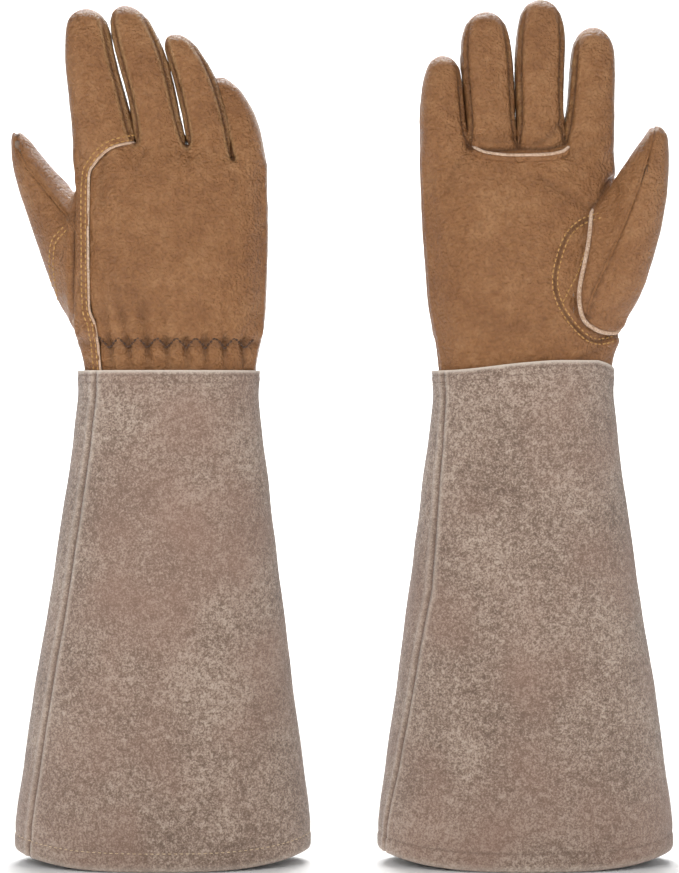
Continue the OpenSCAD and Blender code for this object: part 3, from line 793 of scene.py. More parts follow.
LAP = smooth_line([(35.8, 262), (35.8, 274), (38.5, 297), (41.8, 308), (42.4, 339), (42.4, 377),
                   (39, 386.5), (30.5, 394.5), (17.5, 398.5)])
OVAL = smooth_line([(62, 298), (54, 293.5), (47, 290), (40, 288.6), (34, 290), (28, 294.5), (22, 301.5),
                    (17.5, 309), (15, 317), (14.8, 325), (16.5, 333), (19, 341), (22, 347), (26.5, 352),
                    (32, 355.5), (38.5, 357.5)])
RIDGES = {
    "glove1": {-1: smooth_line([(31, 290), (32, 297), (35, 310), (39, 320), (48, 335), (60, 356), (71, 378),
                                (79, 392), (86, 406)]),
               1: smooth_line([(48, 345), (51, 352), (55.5, 358.5), (61, 364.5), (70.5, 376), (78, 385),
                               (82.5, 391.5), (86, 400), (86.5, 408)])},
    "glove2": {-1: smooth_line([(31, 290), (32, 297), (34, 310), (38, 320), (44.7, 335), (53.4, 356),
                                (61.5, 378), (67.6, 400), (70, 412)]),
               1: smooth_line([(43, 350), (47, 358), (56, 372), (63, 384), (68, 396), (71.5, 412)])},
}
for g in GLOVES:
    skin = skins[g]
    skin = cut(skin, LAP, 1, {"back_panel": "palm_panel", "gather_back": "gather_palm"})
    skin = cut(skin, OVAL, -1, {"palm_panel": "thumb_gusset", "gather_palm": "thumb_gusset"},
               by_place=True)
    for side, line in RIDGES[g].items():
        skin = cut(skin, line, side, {"thumb_inner": "thumb_outer"})
    skins[g] = skin
    print(g, {p: int((skin[2] == i).sum()) for i, p in enumerate(PANELS)})

# %% [markdown]
# ## Seams, folds and gathers
# Sewing pulls leather in along a seam and it swells a little beside it. How deep and how wide
# depends on the seam: a fourchette's is a fine furrow, a welt's is deep, and where the palm laps
# over the back it steps up by the leather's own thickness. Every seam here is a set of points,
# and each point of the skin looks up how far the nearest one is.

# %% Where the seams run
from mathutils.kdtree import KDTree

WRAP = ("palm_panel", "gather_palm", "index_wrap")
# Each kind of seam: how deep its furrow is and how wide, in millimetres.
SEAM_KINDS = {"lap": (0.0, 1.0), "oval": (0.9, 1.5), "welt": (1.6, 1.7), "base": (1.6, 1.8),
              "slit": (1.0, 1.2), "ridge": (0.85, 0.8), "side": (0.7, 1.0)}


def seam_kind(one, other, place):
    """Which seam joins two panels at a place, or None where they are one piece of leather."""
    pair = {one, other}
    if pair <= {"palm_panel", "gather_palm", "index_wrap", "little_front"}:
        return None
    if pair <= {"back_panel", "gather_back", "middle_back", "ring_back", "little_back"}:
        return None
    if any("fourchette" in p for p in pair):
        return "slit"
    if pair == {"thumb_inner", "thumb_outer"}:
        return "ridge"
    if any(p.startswith("thumb_") and p != "thumb_gusset" for p in pair):
        return "welt"
    if "thumb_gusset" in pair:
        return "oval"
    if pair & {"middle_front", "ring_front"} and pair & {"palm_panel", "index_wrap", "little_front"}:
        return "base"
    return "lap" if place[0] > 0 and place[1] > 0 and pair & set(WRAP) else "side"


def seam_points(skin):
    """Points on every seam: {kind: points}."""
    points, faces, panels = skin
    found, seen = {k: [] for k in SEAM_KINDS}, {}
    for f, panel in zip(faces, panels):
        loop = f[f >= 0]
        for a, b in zip(loop, np.roll(loop, -1)):
            key = (a, b) if a < b else (b, a)
            other = seen.setdefault(key, panel)
            if other != panel:
                a, b = points[key[0]], points[key[1]]
                kind = seam_kind(PANELS[other], PANELS[panel], (a + b) / 2)
                if kind:
                    found[kind] += [a, (a + b) / 2, b]
    return {k: np.array(v) for k, v in found.items()}


def gap_to(targets, points, beyond=30.0):
    """How far each point is from the nearest of a set of points."""
    if len(targets) == 0:
        return np.full(len(points), beyond)
    tree = KDTree(len(targets))
    for i, p in enumerate(targets):
        tree.insert(p, i)
    tree.balance()
    return np.array([tree.find(p)[2] for p in points])


seams = {g: seam_points(skins[g]) for g in GLOVES}
print({g: {k: len(v) // 3 for k, v in seams[g].items()} for g in GLOVES})

# %% [markdown]
# The wrist's elastic draws the back together: the zigzag that holds it makes a row of small
# pleats, which spread above and below. Each pleat is a furrow that starts at a low corner of the
# zigzag, leans a little and dies away. The palm side has no elastic and only bends softly.

# %% Folds
ZIGZAG_PITCH, ZIGZAG_LOW, ZIGZAG_HIGH = 10.6, 285.0, 290.8
ZIGZAG_FROM, ZIGZAG_TO = 36.5, -48.5
PLEATS = np.arange(ZIGZAG_FROM - ZIGZAG_PITCH / 2, ZIGZAG_TO, -ZIGZAG_PITCH)
# A pleat: its depth, its width and how it widens per millimetre, and how far it runs up and down.
PLEAT_DEPTH, PLEAT_WIDTH, PLEAT_SPREAD, PLEAT_UP, PLEAT_DOWN = 2.5, 1.5, 0.1, 13, 11
# The pleats nearest the thumb run further up, and noise makes each one longer or shorter.
LONG_PLEATS, LONGER, PLEAT_CHANCE = 3, 7, 9
# The leather swells above and below the elastic and is pinched under it: size, height, width.
SWELLS = ((1.2, 294, 5), (0.7, 279, 4))
PINCH = (1.3, 287.8, 3.0)
# The side a glove shows, 1 for the back and -1 for the palm, and the creases in its leather: a
# line in x and z, its depth and its width.
FOLDS = {
    "glove1": (1, (([(10, 396), (15, 388), (17, 380)], 0.5, 2.4),
                   ([(-12, 392), (-13, 384)], 0.5, 2.2),
                   ([(-38, 381), (-39, 372)], 0.5, 2.2),
                   ([(34, 390), (36, 380), (36, 366)], 0.7, 3.5),
                   ([(48, 322), (44, 308), (41, 300)], 0.6, 2.5))),
    "glove2": (-1, (([(4, 397), (11, 401), (18, 409)], 1.2, 2.0),
                    ([(-29, 401), (-18, 399.5), (-6, 401)], 0.8, 1.8),
                    ([(22, 391), (32, 396), (44, 401)], 0.6, 2.2),
                    ([(22, 390), (30, 391), (38, 393)], 0.5, 1.8),
                    ([(7, 379), (20, 371), (35, 361)], 0.8, 2.6),
                    ([(-34, 392), (-40, 384), (-44, 372)], 0.5, 3.0),
                    ([(44, 291), (40, 285), (30, 279)], 0.7, 3.0),
                    ([(-30, 300), (-10, 296), (8, 298)], 0.35, 4.0))),
}


def bell(gap, width, at=0.0):
    """1 at a distance, falling smoothly to nothing about two widths away from it."""
    return np.exp(-((gap - at) / width) ** 2)


def pleat(points, normals):
    """How far the wrist's pleats go in, on the back of the hand."""
    x, up = points[:, 0], points[:, 2] - ZIGZAG_LOW
    back = np.clip(normals[:, 1] * 2.2, 0, 1)
    depth = np.zeros(len(points))
    for i, middle in enumerate(PLEATS):
        chance = noise.noise(Vector((i * 1.7, 3.1, 0.4)))
        lean = 0.16 * (1.2 - i * 0.32) + 0.2 * chance
        line = middle + np.where(up > 0, lean, 0.08) * up
        reach = PLEAT_UP + PLEAT_CHANCE * chance + (LONGER if i < LONG_PLEATS else 0)
        strength = np.where(up > 0, bell(up, reach), bell(up, PLEAT_DOWN))
        depth += PLEAT_DEPTH * strength * bell(x, PLEAT_WIDTH + PLEAT_SPREAD * np.abs(up), line)
    swell = sum(size * bell(points[:, 2], width, at) for size, at, width in SWELLS)
    size, at, width = PINCH
    return back * (depth + size * bell(points[:, 2], width, at) - swell)


def wobble(points, scale, seed):
    """Slow unevenness of hand-cut leather, from -1 to 1."""
    return np.array([noise.noise(Vector(p) / scale + Vector((seed, 0, 0))) for p in points])


# Slow and fine unevenness: its size, its scale and a seed.
UNEVEN = ((0.7, 26, 5), (0.22, 8, 9))
# Beside a furrow the leather puffs up: a share of the depth, and how many widths away and wide.
PUFF, PUFF_AT, PUFF_WIDTH = 0.3, 2.6, 1.6
CREASE_PUFF, CREASE_SHADE = 0.45, 0.35
# Seams draw in less over the last millimetres to a fingertip.
TIP_START, TIP_FADE, TIP_LEAST = 2, 16, 0.12
# The thumb swells over its seam and the leather beside it sinks: size, place and width. This is
# on the palm side, and fades towards the web.
THUMB_SWELL, BESIDE_SINK = (1.4, 3, 4.5), (2.4, 2, 5.0)
WEB_HEIGHT, WEB_FADE = 376, 24


def fading_to_tips(glove, skin):
    """1 over most of the hand, falling towards each fingertip, where seams hardly draw in."""
    points, faces, panels = skin
    share = np.ones(len(points))
    for finger in FINGERS:
        codes = [i for i, p in enumerate(PANELS) if p.startswith(finger)]
        mine = np.unique(faces[np.isin(panels, codes)])
        mine = mine[mine >= 0]
        tip = SHAPES[glove][finger][2][0]
        share[mine] = np.clip((tip - points[mine, 2] - TIP_START) / TIP_FADE, TIP_LEAST, 1)
    return share


def shaped(glove, skin):
    """Each point's normal, how far it moves along it, how much painted shade it gets and how rubbed
    it is there, and its distance from the lap and from the seams that the lap ends at."""
    points, faces, panels = skin
    normals = point_normals(points, faces)
    lift = sum(size * wobble(points, scale, seed) for size, scale, seed in UNEVEN)
    fold = np.zeros(len(points))
    gaps, tight = {}, fading_to_tips(glove, skin)
    for kind, (depth, width) in SEAM_KINDS.items():
        gap = gaps[kind] = gap_to(seams[glove][kind], points)
        furrow = bell(gap, width) - PUFF * bell(gap, PUFF_WIDTH * width, PUFF_AT * width)
        lift -= tight * depth * furrow
        # Painted shade in the furrow of each seam.
        fold = np.maximum(fold, tight * 0.75 * min(depth, 1.0) * bell(gap, 0.9))
    side, creases = FOLDS[glove]
    for line, depth, width in creases:
        gap, _ = from_line(smooth_line(line), points[:, [0, 2]])
        near = np.where(side * normals[:, 1] > 0.1, np.abs(gap), 99.0)
        lift -= depth * (bell(near, width) - CREASE_PUFF * bell(near, width, 2 * width))
        # Painted shade in each crease.
        fold = np.maximum(fold, CREASE_SHADE * depth * bell(near, 0.7 * width))
    pleats = pleat(points, normals)
    # Painted shade in the valleys of the wrist's pleats.
    fold = np.maximum(fold, np.clip(pleats * 0.3, 0, 0.6))
    thumb = gaps["welt"]
    front = np.clip(0.4 - normals[:, 1] * 2, 0, 1)
    front *= np.clip((WEB_HEIGHT - points[:, 2]) / WEB_FADE, 0, 1)
    on_thumb = np.zeros(len(points), bool)
    mine = np.unique(faces[np.isin(panels, [panel_code("thumb_inner"), panel_code("thumb_outer")])])
    on_thumb[mine[mine >= 0]] = True
    (swell, swell_at, swell_width), (sink, sink_at, sink_width) = THUMB_SWELL, BESIDE_SINK
    lift += front * np.where(on_thumb, swell * bell(thumb, swell_width, swell_at), 0)
    lift -= front * np.where(on_thumb, 0, sink * bell(thumb, sink_width, sink_at))
    # Painted shadow that the thumb's raised welt casts on the leather beside it.
    fold = np.maximum(fold, front * np.where(on_thumb, 0, 0.35 * bell(thumb, 4.0)))
    worn = 0.4 * bell(gaps["slit"], 0.9, 2.2) * np.clip(normals[:, 1] * 2, 0, 1)
    return normals, lift - pleats, fold, worn, gaps["lap"], np.minimum(gaps["slit"], thumb)


reliefs = {g: shaped(g, skins[g]) for g in GLOVES}
print({g: (round(float(r[1].min()), 2), round(float(r[1].max()), 2)) for g, r in reliefs.items()})

# %% [markdown]
# ## Panels with a real thickness
# The skin is now cut into its panels. Each panel becomes a closed sheet of leather: its outer
# face, the same face again one thickness further in, and a wall round its edge. The outer faces
# of neighbours share their normals, so that light runs over a seam as it does over leather that
# is pulled together, and no edge shows where a panel only ends for the sake of a joint.

# %% Leather panels
# At the lap the palm's leather rises and settles again over some way, and the back is tucked
# under it; both end softly before they reach another seam.
LAP_RISE, LAP_FADE, TUCK, TUCK_WIDTH, LAP_END = 0.95, 14.0, 0.7, 3.0, 3.0
GUSSET_LEATHER = 0.7
PIECES = {
    "wrist_gather": ("gather_back", "gather_palm"),
    "hand_back_panel": ("back_panel",),
    "hand_palm_panel": ("palm_panel",),
    **{name: (name,) for name in (
        "thumb_gusset", "thumb_inner", "thumb_outer", "index_wrap", "index_fourchette", "middle_front",
        "middle_back", "middle_fourchettes", "ring_front", "ring_back", "ring_fourchettes",
        "little_front", "little_back", "little_fourchette")},
}
FLESH_SIDE = suede("flesh side of the cowhide", "#7E5C3C", "#926D4A", "#A6815C", "#98704E")


def displaced(glove, wrapped):
    """The skin's points after their relief, as the wrapping palm leather or as what is under it."""
    points, (normals, lift, _, _, lap, other) = skins[glove][0], reliefs[glove]
    back = (normals[:, 1] > 0) & (points[:, 0] > 0)
    loose = 1 - bell(other, LAP_END)
    if wrapped:
        step = LAP_RISE * (1 - np.clip(lap / LAP_FADE, 0, 1)) ** 2
    else:
        step = -TUCK * bell(lap, TUCK_WIDTH)
    return points + normals * (lift + loose * np.where(back, step, 0))[:, None]


def outer_skin(glove):
    """All outer faces on one set of points: the second half of the points is the wrapped side."""
    points, faces, panels = skins[glove]
    both = np.vstack((displaced(glove, False), displaced(glove, True)))
    wraps = np.isin(panels, [panel_code(p) for p in WRAP])
    moved = faces.copy()
    moved[wraps] = np.where(faces[wraps] < 0, -1, faces[wraps] + len(points))
    normals, _, _, _, lap, _ = reliefs[glove]
    near_lap = (lap < LAP_FADE) & (normals[:, 1] > 0)
    keys = np.arange(len(both))
    keys[len(points):] = np.where(near_lap, keys[len(points):], keys[:len(points)])
    return both, moved, point_normals(both, moved, keys)


def panel_piece(glove, piece, parts, thickness):
    """A closed sheet of leather for one or more panels: its outside, its flesh side and its edges."""
    both, faces, normals = outers[glove]
    panels = skins[glove][2]
    _, _, fold, worn, _, _ = reliefs[glove]
    points, polygons, materials, outward, marks = [], [], [], [], []
    for part in parts:
        mine = faces[panels == panel_code(part)]
        used = np.unique(mine)
        used = used[used >= 0]
        index = np.full(len(both), -1)
        index[used] = np.arange(len(used)) + len(points)
        count, depth = len(used), len(both) // 2
        points.extend(both[used])
        points.extend(both[used] - normals[used] * thickness)
        outward.extend(normals[used])
        outward.extend(-normals[used])
        marks.extend([(fold[i % depth], worn[i % depth]) for i in used] * 2)
        edges = {}
        for f in mine:
            loop = [int(index[v]) for v in f if v >= 0]
            polygons.append(loop)
            materials.append(0)
            polygons.append([v + count for v in reversed(loop)])
            materials.append(1)
            edges.update(dict.fromkeys(zip(loop, loop[1:] + loop[:1])))
        rim = [(a, b) for a, b in edges if (b, a) not in edges]
        polygons += [[b, a, a + count, b + count] for a, b in rim]
        materials += [0] * len(rim)
    mesh = mesh_of(f"{glove}_{piece}", placed(glove, points), polygons)
    # The fourchettes take the darker leather, painted shade between the fingers.
    for material in (GRAIN_IN_PAINTED_SHADE if "fourchette" in piece else GRAIN, FLESH_SIDE):
        mesh.materials.append(material)
    mesh.polygons.foreach_set("material_index", materials)
    mesh.polygons.foreach_set("use_smooth", [True] * len(polygons))
    turned = np.array(outward) * (TURN[glove], TURN[glove], 1)
    mesh.normals_split_custom_set_from_vertices([tuple(n) for n in turned])
    # These attributes carry the painted shade and the rubbed places to the leather's shader.
    for name, column in (("fold", 0), ("worn", 1)):
        mesh.attributes.new(name, "FLOAT", "POINT").data.foreach_set("value", [m[column] for m in marks])
    made = bpy.data.objects.new(f"{glove}_{piece}", mesh)
    bpy.context.scene.collection.objects.link(made)
    return made


outers = {g: outer_skin(g) for g in GLOVES}
leather = {(g, piece): panel_piece(g, piece, parts, GUSSET_LEATHER if piece == "thumb_gusset" else LEATHER)
           for g in GLOVES for piece, parts in PIECES.items()}
print(len(leather), "leather pieces,", sum(len(o.data.polygons) for o in leather.values()), "faces")

# %% [markdown]
# ## Raw edges and welts
# Where leather is lapped or a strip is sewn into a seam, its cut edge shows as a pale cord-like
# line. Each is a flattened rod swept along a path on the skin: the path is laid out in the x z
# plane and dropped on the skin by rays, or taken from the seam's own points.

# %% Rods on the skin
def drop_on(glove, line, side):
    """Where an x z line falls on one side of the skin: points and normals."""
    points, normals = [], []
    for x, z in line:
        hit, normal, _, _ = skin_trees[glove].ray_cast(Vector((x, side * 90, z)), Vector((0, -side, 0)))
        if hit is not None and side * normal[1] > -0.1:
            points.append(hit)
            normals.append(normal)
    points, normals = np.array(points), np.array(normals)
    for _ in range(2):
        normals[1:-1] = (normals[:-2] + normals[1:-1] + normals[2:]) / 3
        points[1:-1, 1] = (points[:-2, 1] + points[1:-1, 1] + points[2:, 1]) / 3
    return points, normals / np.linalg.norm(normals, axis=1, keepdims=True)


def rod(points, normals, half_width, half_height, around=10):
    """A flattened rod along a path, with rounded ends: its points and faces."""
    along = np.gradient(points, axis=0)
    along /= np.linalg.norm(along, axis=1, keepdims=True)
    across = np.cross(along, normals)
    run = np.concatenate(([0], np.cumsum(np.linalg.norm(np.diff(points, axis=0), axis=1))))
    near_end = np.clip(np.minimum(run, run[-1] - run) / half_width, 0.02, 1)
    size = np.sqrt(1 - (1 - near_end) ** 2)
    turns = np.linspace(0, 2 * math.pi, around, endpoint=False)
    wide, high = (part[None, :, None] * size[:, None, None]
                  for part in (np.cos(turns) * half_width, np.sin(turns) * half_height))
    rings = points[:, None] + across[:, None] * wide + normals[:, None] * high
    faces = []
    for r in range(len(points) - 1):
        for k in range(around):
            a, b = r * around + k, r * around + (k + 1) % around
            faces.append((a, a + around, b + around, b))
    faces.append(tuple(range(around)))
    faces.append(tuple(range(len(points) * around - 1, (len(points) - 1) * around - 1, -1)))
    return rings.reshape(-1, 3), faces


def solid_of(glove, piece, shapes):
    """One object from (points, faces, material) shapes in a glove's own millimetres."""
    points, faces, materials, used = [], [], [], []
    for shape_points, shape_faces, material in shapes:
        if material not in used:
            used.append(material)
        faces += [tuple(v + len(points) for v in f) for f in shape_faces]
        materials += [used.index(material)] * len(shape_faces)
        points += list(shape_points)
    mesh = mesh_of(f"{glove}_{piece}", placed(glove, points), faces)
    for material in used:
        mesh.materials.append(material)
    mesh.polygons.foreach_set("material_index", materials)
    mesh.polygons.foreach_set("use_smooth", [True] * len(faces))
    made = bpy.data.objects.new(f"{glove}_{piece}", mesh)
    bpy.context.scene.collection.objects.link(made)
    return made


WELT_TOP, THUMB_ROOT = 366, (46, 335)


def welt_path(glove):
    """The thumb's seam on the palm side, from the web down and round to the outer edge."""
    points, faces, panels = skins[glove]
    both, _, normals = outers[glove]
    thumb = np.isin(panels, [panel_code("thumb_inner"), panel_code("thumb_outer")])
    inside, outside = (np.unique(faces[m]) for m in (thumb, ~thumb))
    seam = np.intersect1d(inside, outside)
    seam = seam[seam >= 0]
    seam = seam[(points[seam, 2] < WELT_TOP) & (normals[seam, 1] < 0.35)]
    turn = np.arctan2(points[seam, 2] - THUMB_ROOT[1], points[seam, 0] - THUMB_ROOT[0])
    order = seam[np.argsort(-(turn % (2 * math.pi)))][::-1]
    path, up = both[order], normals[order]
    for _ in range(6):
        path[1:-1] = (path[:-2] + path[1:-1] + path[2:]) / 3
        up[1:-1] = (up[:-2] + up[1:-1] + up[2:]) / 3
    return path, up / np.linalg.norm(up, axis=1, keepdims=True)


skin_trees = {g: BVHTree.FromPolygons([tuple(p) for p in outers[g][0]],
                                      [tuple(v for v in f if v >= 0) for f in outers[g][1].tolist()])
              for g in GLOVES}
BASE_WELT = smooth_line([(-30, 394), (-24, 391), (-12, 389.3), (2, 389.3), (13, 390), (19, 391.5),
                         (23, 394.5)], 1.5)
trims = {}
for g in GLOVES:
    lap_points, lap_normals = drop_on(g, offset_line(LAP, 0.5)[9:], 1)
    trims[g, "back_seam_raw_edge"] = solid_of(g, "back_seam_raw_edge", [
        (*rod(lap_points, lap_normals, 0.8, 0.55), RAW_EDGE)])
    base_points, base_normals = drop_on(g, BASE_WELT, -1)
    upper = base_points + (0, 0, 1.6)
    trims[g, "finger_base_welt"] = solid_of(g, "finger_base_welt", [
        (*rod(base_points + 0.2 * base_normals, base_normals, 2.1, 1.3), GRAIN),
        (*rod(upper + 1.1 * base_normals, base_normals, 0.9, 0.5), RAW_EDGE)])
    path, up = welt_path(g)
    trims[g, "thumb_welt"] = solid_of(g, "thumb_welt", [
        (*rod(path + 0.5 * up, up, 1.2, 1.3), RAW_EDGE)])
    ridges = [drop_on(g, line[line[:, 1] > 302], side) for side, line in RIDGES[g].items()]
    trims[g, "thumb_ridge"] = solid_of(g, "thumb_ridge", [
        (*rod(p - 0.1 * n, n, 0.9, 0.6), GRAIN) for p, n in ridges])
print(len(trims), "edges and welts")

# %% [markdown]
# ## Stitches
# A row of stitches is one thing repeated, so Geometry Nodes sews it: a path is turned into a
# curve, points are set along it at the stitch pitch, and on each a short flattened bead of thread
# lies along the path, half sunk in the leather. Pitch, length and thickness are named inputs. The
# result is kept as a plain mesh.

# %% The sewing tree
def sewing_tree():
    tree = bpy.data.node_groups.new("sewn_row", "GeometryNodeTree")
    tree.interface.new_socket(name="Path", in_out="INPUT", socket_type="NodeSocketGeometry")
    for name in ("Pitch", "Length", "Thickness"):
        tree.interface.new_socket(name=name, in_out="INPUT", socket_type="NodeSocketFloat")
    tree.interface.new_socket(name="Thread", in_out="INPUT", socket_type="NodeSocketMaterial")
    tree.interface.new_socket(name="Stitches", in_out="OUTPUT", socket_type="NodeSocketGeometry")
    given = add_node(tree, "NodeGroupInput").outputs
    curve = add_node(tree, "GeometryNodeMeshToCurve", {"Mesh": given["Path"]})
    spots = add_node(tree, "GeometryNodeCurveToPoints",
                     {"Curve": curve.outputs[0], "Length": given["Pitch"]}, mode="LENGTH")
    outward = add_node(tree, "GeometryNodeInputNamedAttribute", None, {"Name": "out"},
                       data_type="FLOAT_VECTOR")
    lie = add_node(tree, "FunctionNodeAxesToRotation", {0: spots.outputs["Tangent"], 1: outward.outputs[0]},
                   None, primary_axis="X", secondary_axis="Z")
    bead = add_node(tree, "GeometryNodeMeshUVSphere", None, {"Segments": 8, "Rings": 6, "Radius": 0.5})
    size = add_node(tree, "ShaderNodeCombineXYZ", {0: given["Length"], 1: given["Thickness"],
                                                   2: given["Thickness"]})
    sewn = add_node(tree, "GeometryNodeInstanceOnPoints",
                    {"Points": spots.outputs[0], "Instance": bead.outputs["Mesh"],
                     "Rotation": lie.outputs[0], "Scale": size.outputs[0]})
    real = add_node(tree, "GeometryNodeRealizeInstances", {0: sewn.outputs[0]})
    smooth = add_node(tree, "GeometryNodeSetShadeSmooth", {0: real.outputs[0]})
    dyed = add_node(tree, "GeometryNodeSetMaterial", {0: smooth.outputs[0], "Material": given["Thread"]})
    add_node(tree, "NodeGroupOutput", {0: dyed.outputs[0]})
    return tree


SEWING = sewing_tree()


def stitched(glove, piece, rows, pitch, length, thickness, thread):
    """Stitches along rows of (points, normals) in a glove's own millimetres, as one plain mesh."""
    points, edges, outward = [], [], []
    for row, normals in rows:
        edges += [(len(points) + i, len(points) + i + 1) for i in range(len(row) - 1)]
        points += list(row)
        outward += list(normals * (TURN[glove], TURN[glove], 1))
    path = bpy.data.meshes.new("path")
    path.from_pydata([tuple(p) for p in placed(glove, points)], edges, [])
    facing_out = path.attributes.new("out", "FLOAT_VECTOR", "POINT")
    facing_out.data.foreach_set("vector", np.array(outward).ravel())
    made = bpy.data.objects.new(f"{glove}_{piece}", path)
    bpy.context.scene.collection.objects.link(made)
    sewer = made.modifiers.new("sewing", "NODES")
    sewer.node_group = SEWING
    sockets = {s.name: s.identifier for s in SEWING.interface.items_tree if s.in_out == "INPUT"}
    for name, value in (("Pitch", pitch * MM), ("Length", length * MM), ("Thickness", thickness * MM)):
        sewer[sockets[name]] = value
    sewer[sockets["Thread"]] = thread
    sewn = bpy.data.meshes.new_from_object(made.evaluated_get(bpy.context.evaluated_depsgraph_get()))
    made.modifiers.clear()
    made.data = sewn
    sewn.name = made.name
    return made


# %% Stitches on the leather
ZIGZAG_PROUD = 0.35
VALLEY_ROW = smooth_line([(31, 337), (27.7, 327), (23.2, 318), (19.5, 311)])
THUMB_BACK = smooth_line([(56.7, 350), (62.2, 344), (63.8, 335), (63.8, 326), (62.7, 317), (62.2, 311)])


def zigzag(glove):
    """The zigzag row over the elastic, across the back from the lap to the little finger's side."""
    corners, x, high = [], ZIGZAG_FROM, True
    while x > ZIGZAG_TO:
        corners.append((x, ZIGZAG_HIGH if high else ZIGZAG_LOW))
        x, high = x - ZIGZAG_PITCH / 2, not high
    line = [np.array(a) + (np.array(b) - a) * t
            for a, b in zip(corners, corners[1:]) for t in (0, 0.25, 0.5, 0.75)]
    points, normals = drop_on(glove, line, 1)
    return points + ZIGZAG_PROUD * normals, normals


for g in GLOVES:
    lap_rows = [drop_on(g, offset_line(LAP, gap)[6:], 1) for gap in (1.9, 4.5)]
    trims[g, "back_seam_stitching"] = stitched(g, "back_seam_stitching", lap_rows, 3.2, 2.5, 0.95,
                                               GOLD_THREAD)
    oval_rows = [drop_on(g, offset_line(OVAL, gap)[8:], -1) for gap in (-1.4, 1.5)]
    valley = drop_on(g, VALLEY_ROW, -1)
    back_rows = [drop_on(g, offset_line(THUMB_BACK, gap), 1) for gap in (0.0, -2.6)]
    trims[g, "thumb_stitching"] = stitched(g, "thumb_stitching", oval_rows + [valley] + back_rows,
                                           3.0, 2.3, 0.85, GOLD_THREAD)
    trims[g, "wrist_zigzag_stitching"] = stitched(g, "wrist_zigzag_stitching", [zigzag(g)], 2.3, 2.1, 1.25,
                                                  BROWN_THREAD)
print("stitched", [len(trims[g, "back_seam_stitching"].data.polygons) for g in GLOVES])

# %% [markdown]
# ## Suede cuffs
# Each cuff is two panels of suede, a back and a palm one, sewn edge to edge along both sides. The
# seams turn the edges inward, so each runs in a shallow groove with a soft ridge on either side.
# The top is a doubled band held by two rows, with its raw rim showing; the hem is turned up once.

# %% Cuff panels
HALF_WIDTHS = ((0, 81.6), (22, 82), (34, 80.6), (232, 52.8), (258, 50.4), (290, 50.4))
HALF_DEPTHS = ((0, 38.5), (22, 38.5), (232, 27), (258, 25.5), (290, 25.2))
CUFF_SHIFT = {"glove1": ((0, 3.0), (274, -0.6)), "glove2": ((0, 0.0), (274, -1.4))}
THUMB_SEAM = ((0, 29), (274, 40))
LITTLE_SEAM = ((0, 197), (153, 216), (274, 208))
SUEDE_THICKNESS = 1.8
CUFF_SQUARE = 2.15
ROWS_UP, COLUMNS_HALF = 150, 110
HEM_FOLD, HEM_RISE, TOP_ROWS = 10.0, 8.0, (2.7, 6.6)
RIM_HEIGHT, RIM_RAISED, SEAM_TOP, TOP_BAND = 272.8, 5.5, 273, 8.5
# Slow waves in the suede: their size, their scale and a seed.
WAVES = ((1.1, 62, 21), (0.4, 21, 33))


def between(pairs, z):
    return np.interp(z, *zip(*pairs))


def cuff_height(glove, turn):
    """How high the cuff's rim stands at an angle: the palm-side rim of the second glove is raised."""
    rise = RIM_RAISED * np.clip(-np.sin(turn) * 1.6, 0, 1) if glove == "glove2" else 0.0
    along = np.clip((np.cos(turn) + 0.9) / 1.3, 0, 1)
    return RIM_HEIGHT + rise * along ** 2 * (3 - 2 * along)


def cuff_surface(glove, turn, share, proud=0.0):
    """Points of the cuff at angles and at shares of its height, in millimetres. The hem rises at
    the sides, as a flattened cuff's does."""
    top = cuff_height(glove, turn)
    z = share * top + HEM_RISE * np.abs(np.cos(turn)) ** 3 * (1 - share) ** 6
    c, s = np.cos(turn), np.sin(turn)
    c, s = (np.sign(v) * np.abs(v) ** (2 / CUFF_SQUARE) for v in (c, s))
    half_x, half_y = between(HALF_WIDTHS, z) + proud, between(HALF_DEPTHS, z) + proud
    return np.stack((between(CUFF_SHIFT[glove], z) + half_x * c, half_y * s, z), -1)


def seam_turns(share):
    z = share * SEAM_TOP
    return np.radians(between(THUMB_SEAM, z)), np.radians(between(LITTLE_SEAM, z))


def cuff_relief(glove, turn, share):
    """How far the suede stands out, the painted shade in its grooves, and how rubbed it is."""
    p = cuff_surface(glove, turn, share)
    below = cuff_height(glove, turn) - p[..., 2]
    up = share * cuff_height(glove, turn)
    arc = between(HALF_DEPTHS, p[..., 2]) * 1.35
    off = [(turn - at + math.pi) % (2 * math.pi) - math.pi for at in seam_turns(share)]
    gap = np.minimum(np.abs(off[0]), np.abs(off[1])) * arc
    waves = sum(size * wobble(p.reshape(-1, 3), scale, seed) for size, scale, seed in WAVES)
    out = waves.reshape(turn.shape) * np.clip(below / 30, 0.15, 1)
    out += 0.5 * bell(gap, 1.5, 2.8) - 0.9 * bell(gap, 1.1)
    out += 0.5 / (1 + np.exp((up - HEM_FOLD) / 0.5)) - 0.45 * bell(up, 0.9, HEM_FOLD)
    out -= 0.6 * bell(up, 1.2)
    # Painted shade in the side seams' grooves and in the groove of the hem's fold.
    dark = 0.7 * bell(gap, 0.8) + 0.3 * bell(up, 0.8, HEM_FOLD)
    worn = 0.3 * bell(gap, 1.3, 2.6) + 0.25 * bell(up, 2.0, 1.0)
    for row in TOP_ROWS:
        out -= 0.35 * bell(below, 0.8, row)
        # Painted shade in the groove under each top row of stitches.
        dark += 0.25 * bell(below, 0.7, row)
    out += 0.45 / (1 + np.exp((below - TOP_BAND) / 0.5))
    worn += 0.95 * bell(below, 1.3)
    return out, np.clip(dark, 0, 0.9), np.clip(worn, 0, 1)


def cuff_shares():
    """Heights of the grid's rows, closer together at the hem and the top."""
    z = np.concatenate((np.arange(0, 16, 0.7), np.linspace(16, 262, ROWS_UP),
                        np.arange(262.5, RIM_HEIGHT, 0.6), [RIM_HEIGHT]))
    return z / RIM_HEIGHT


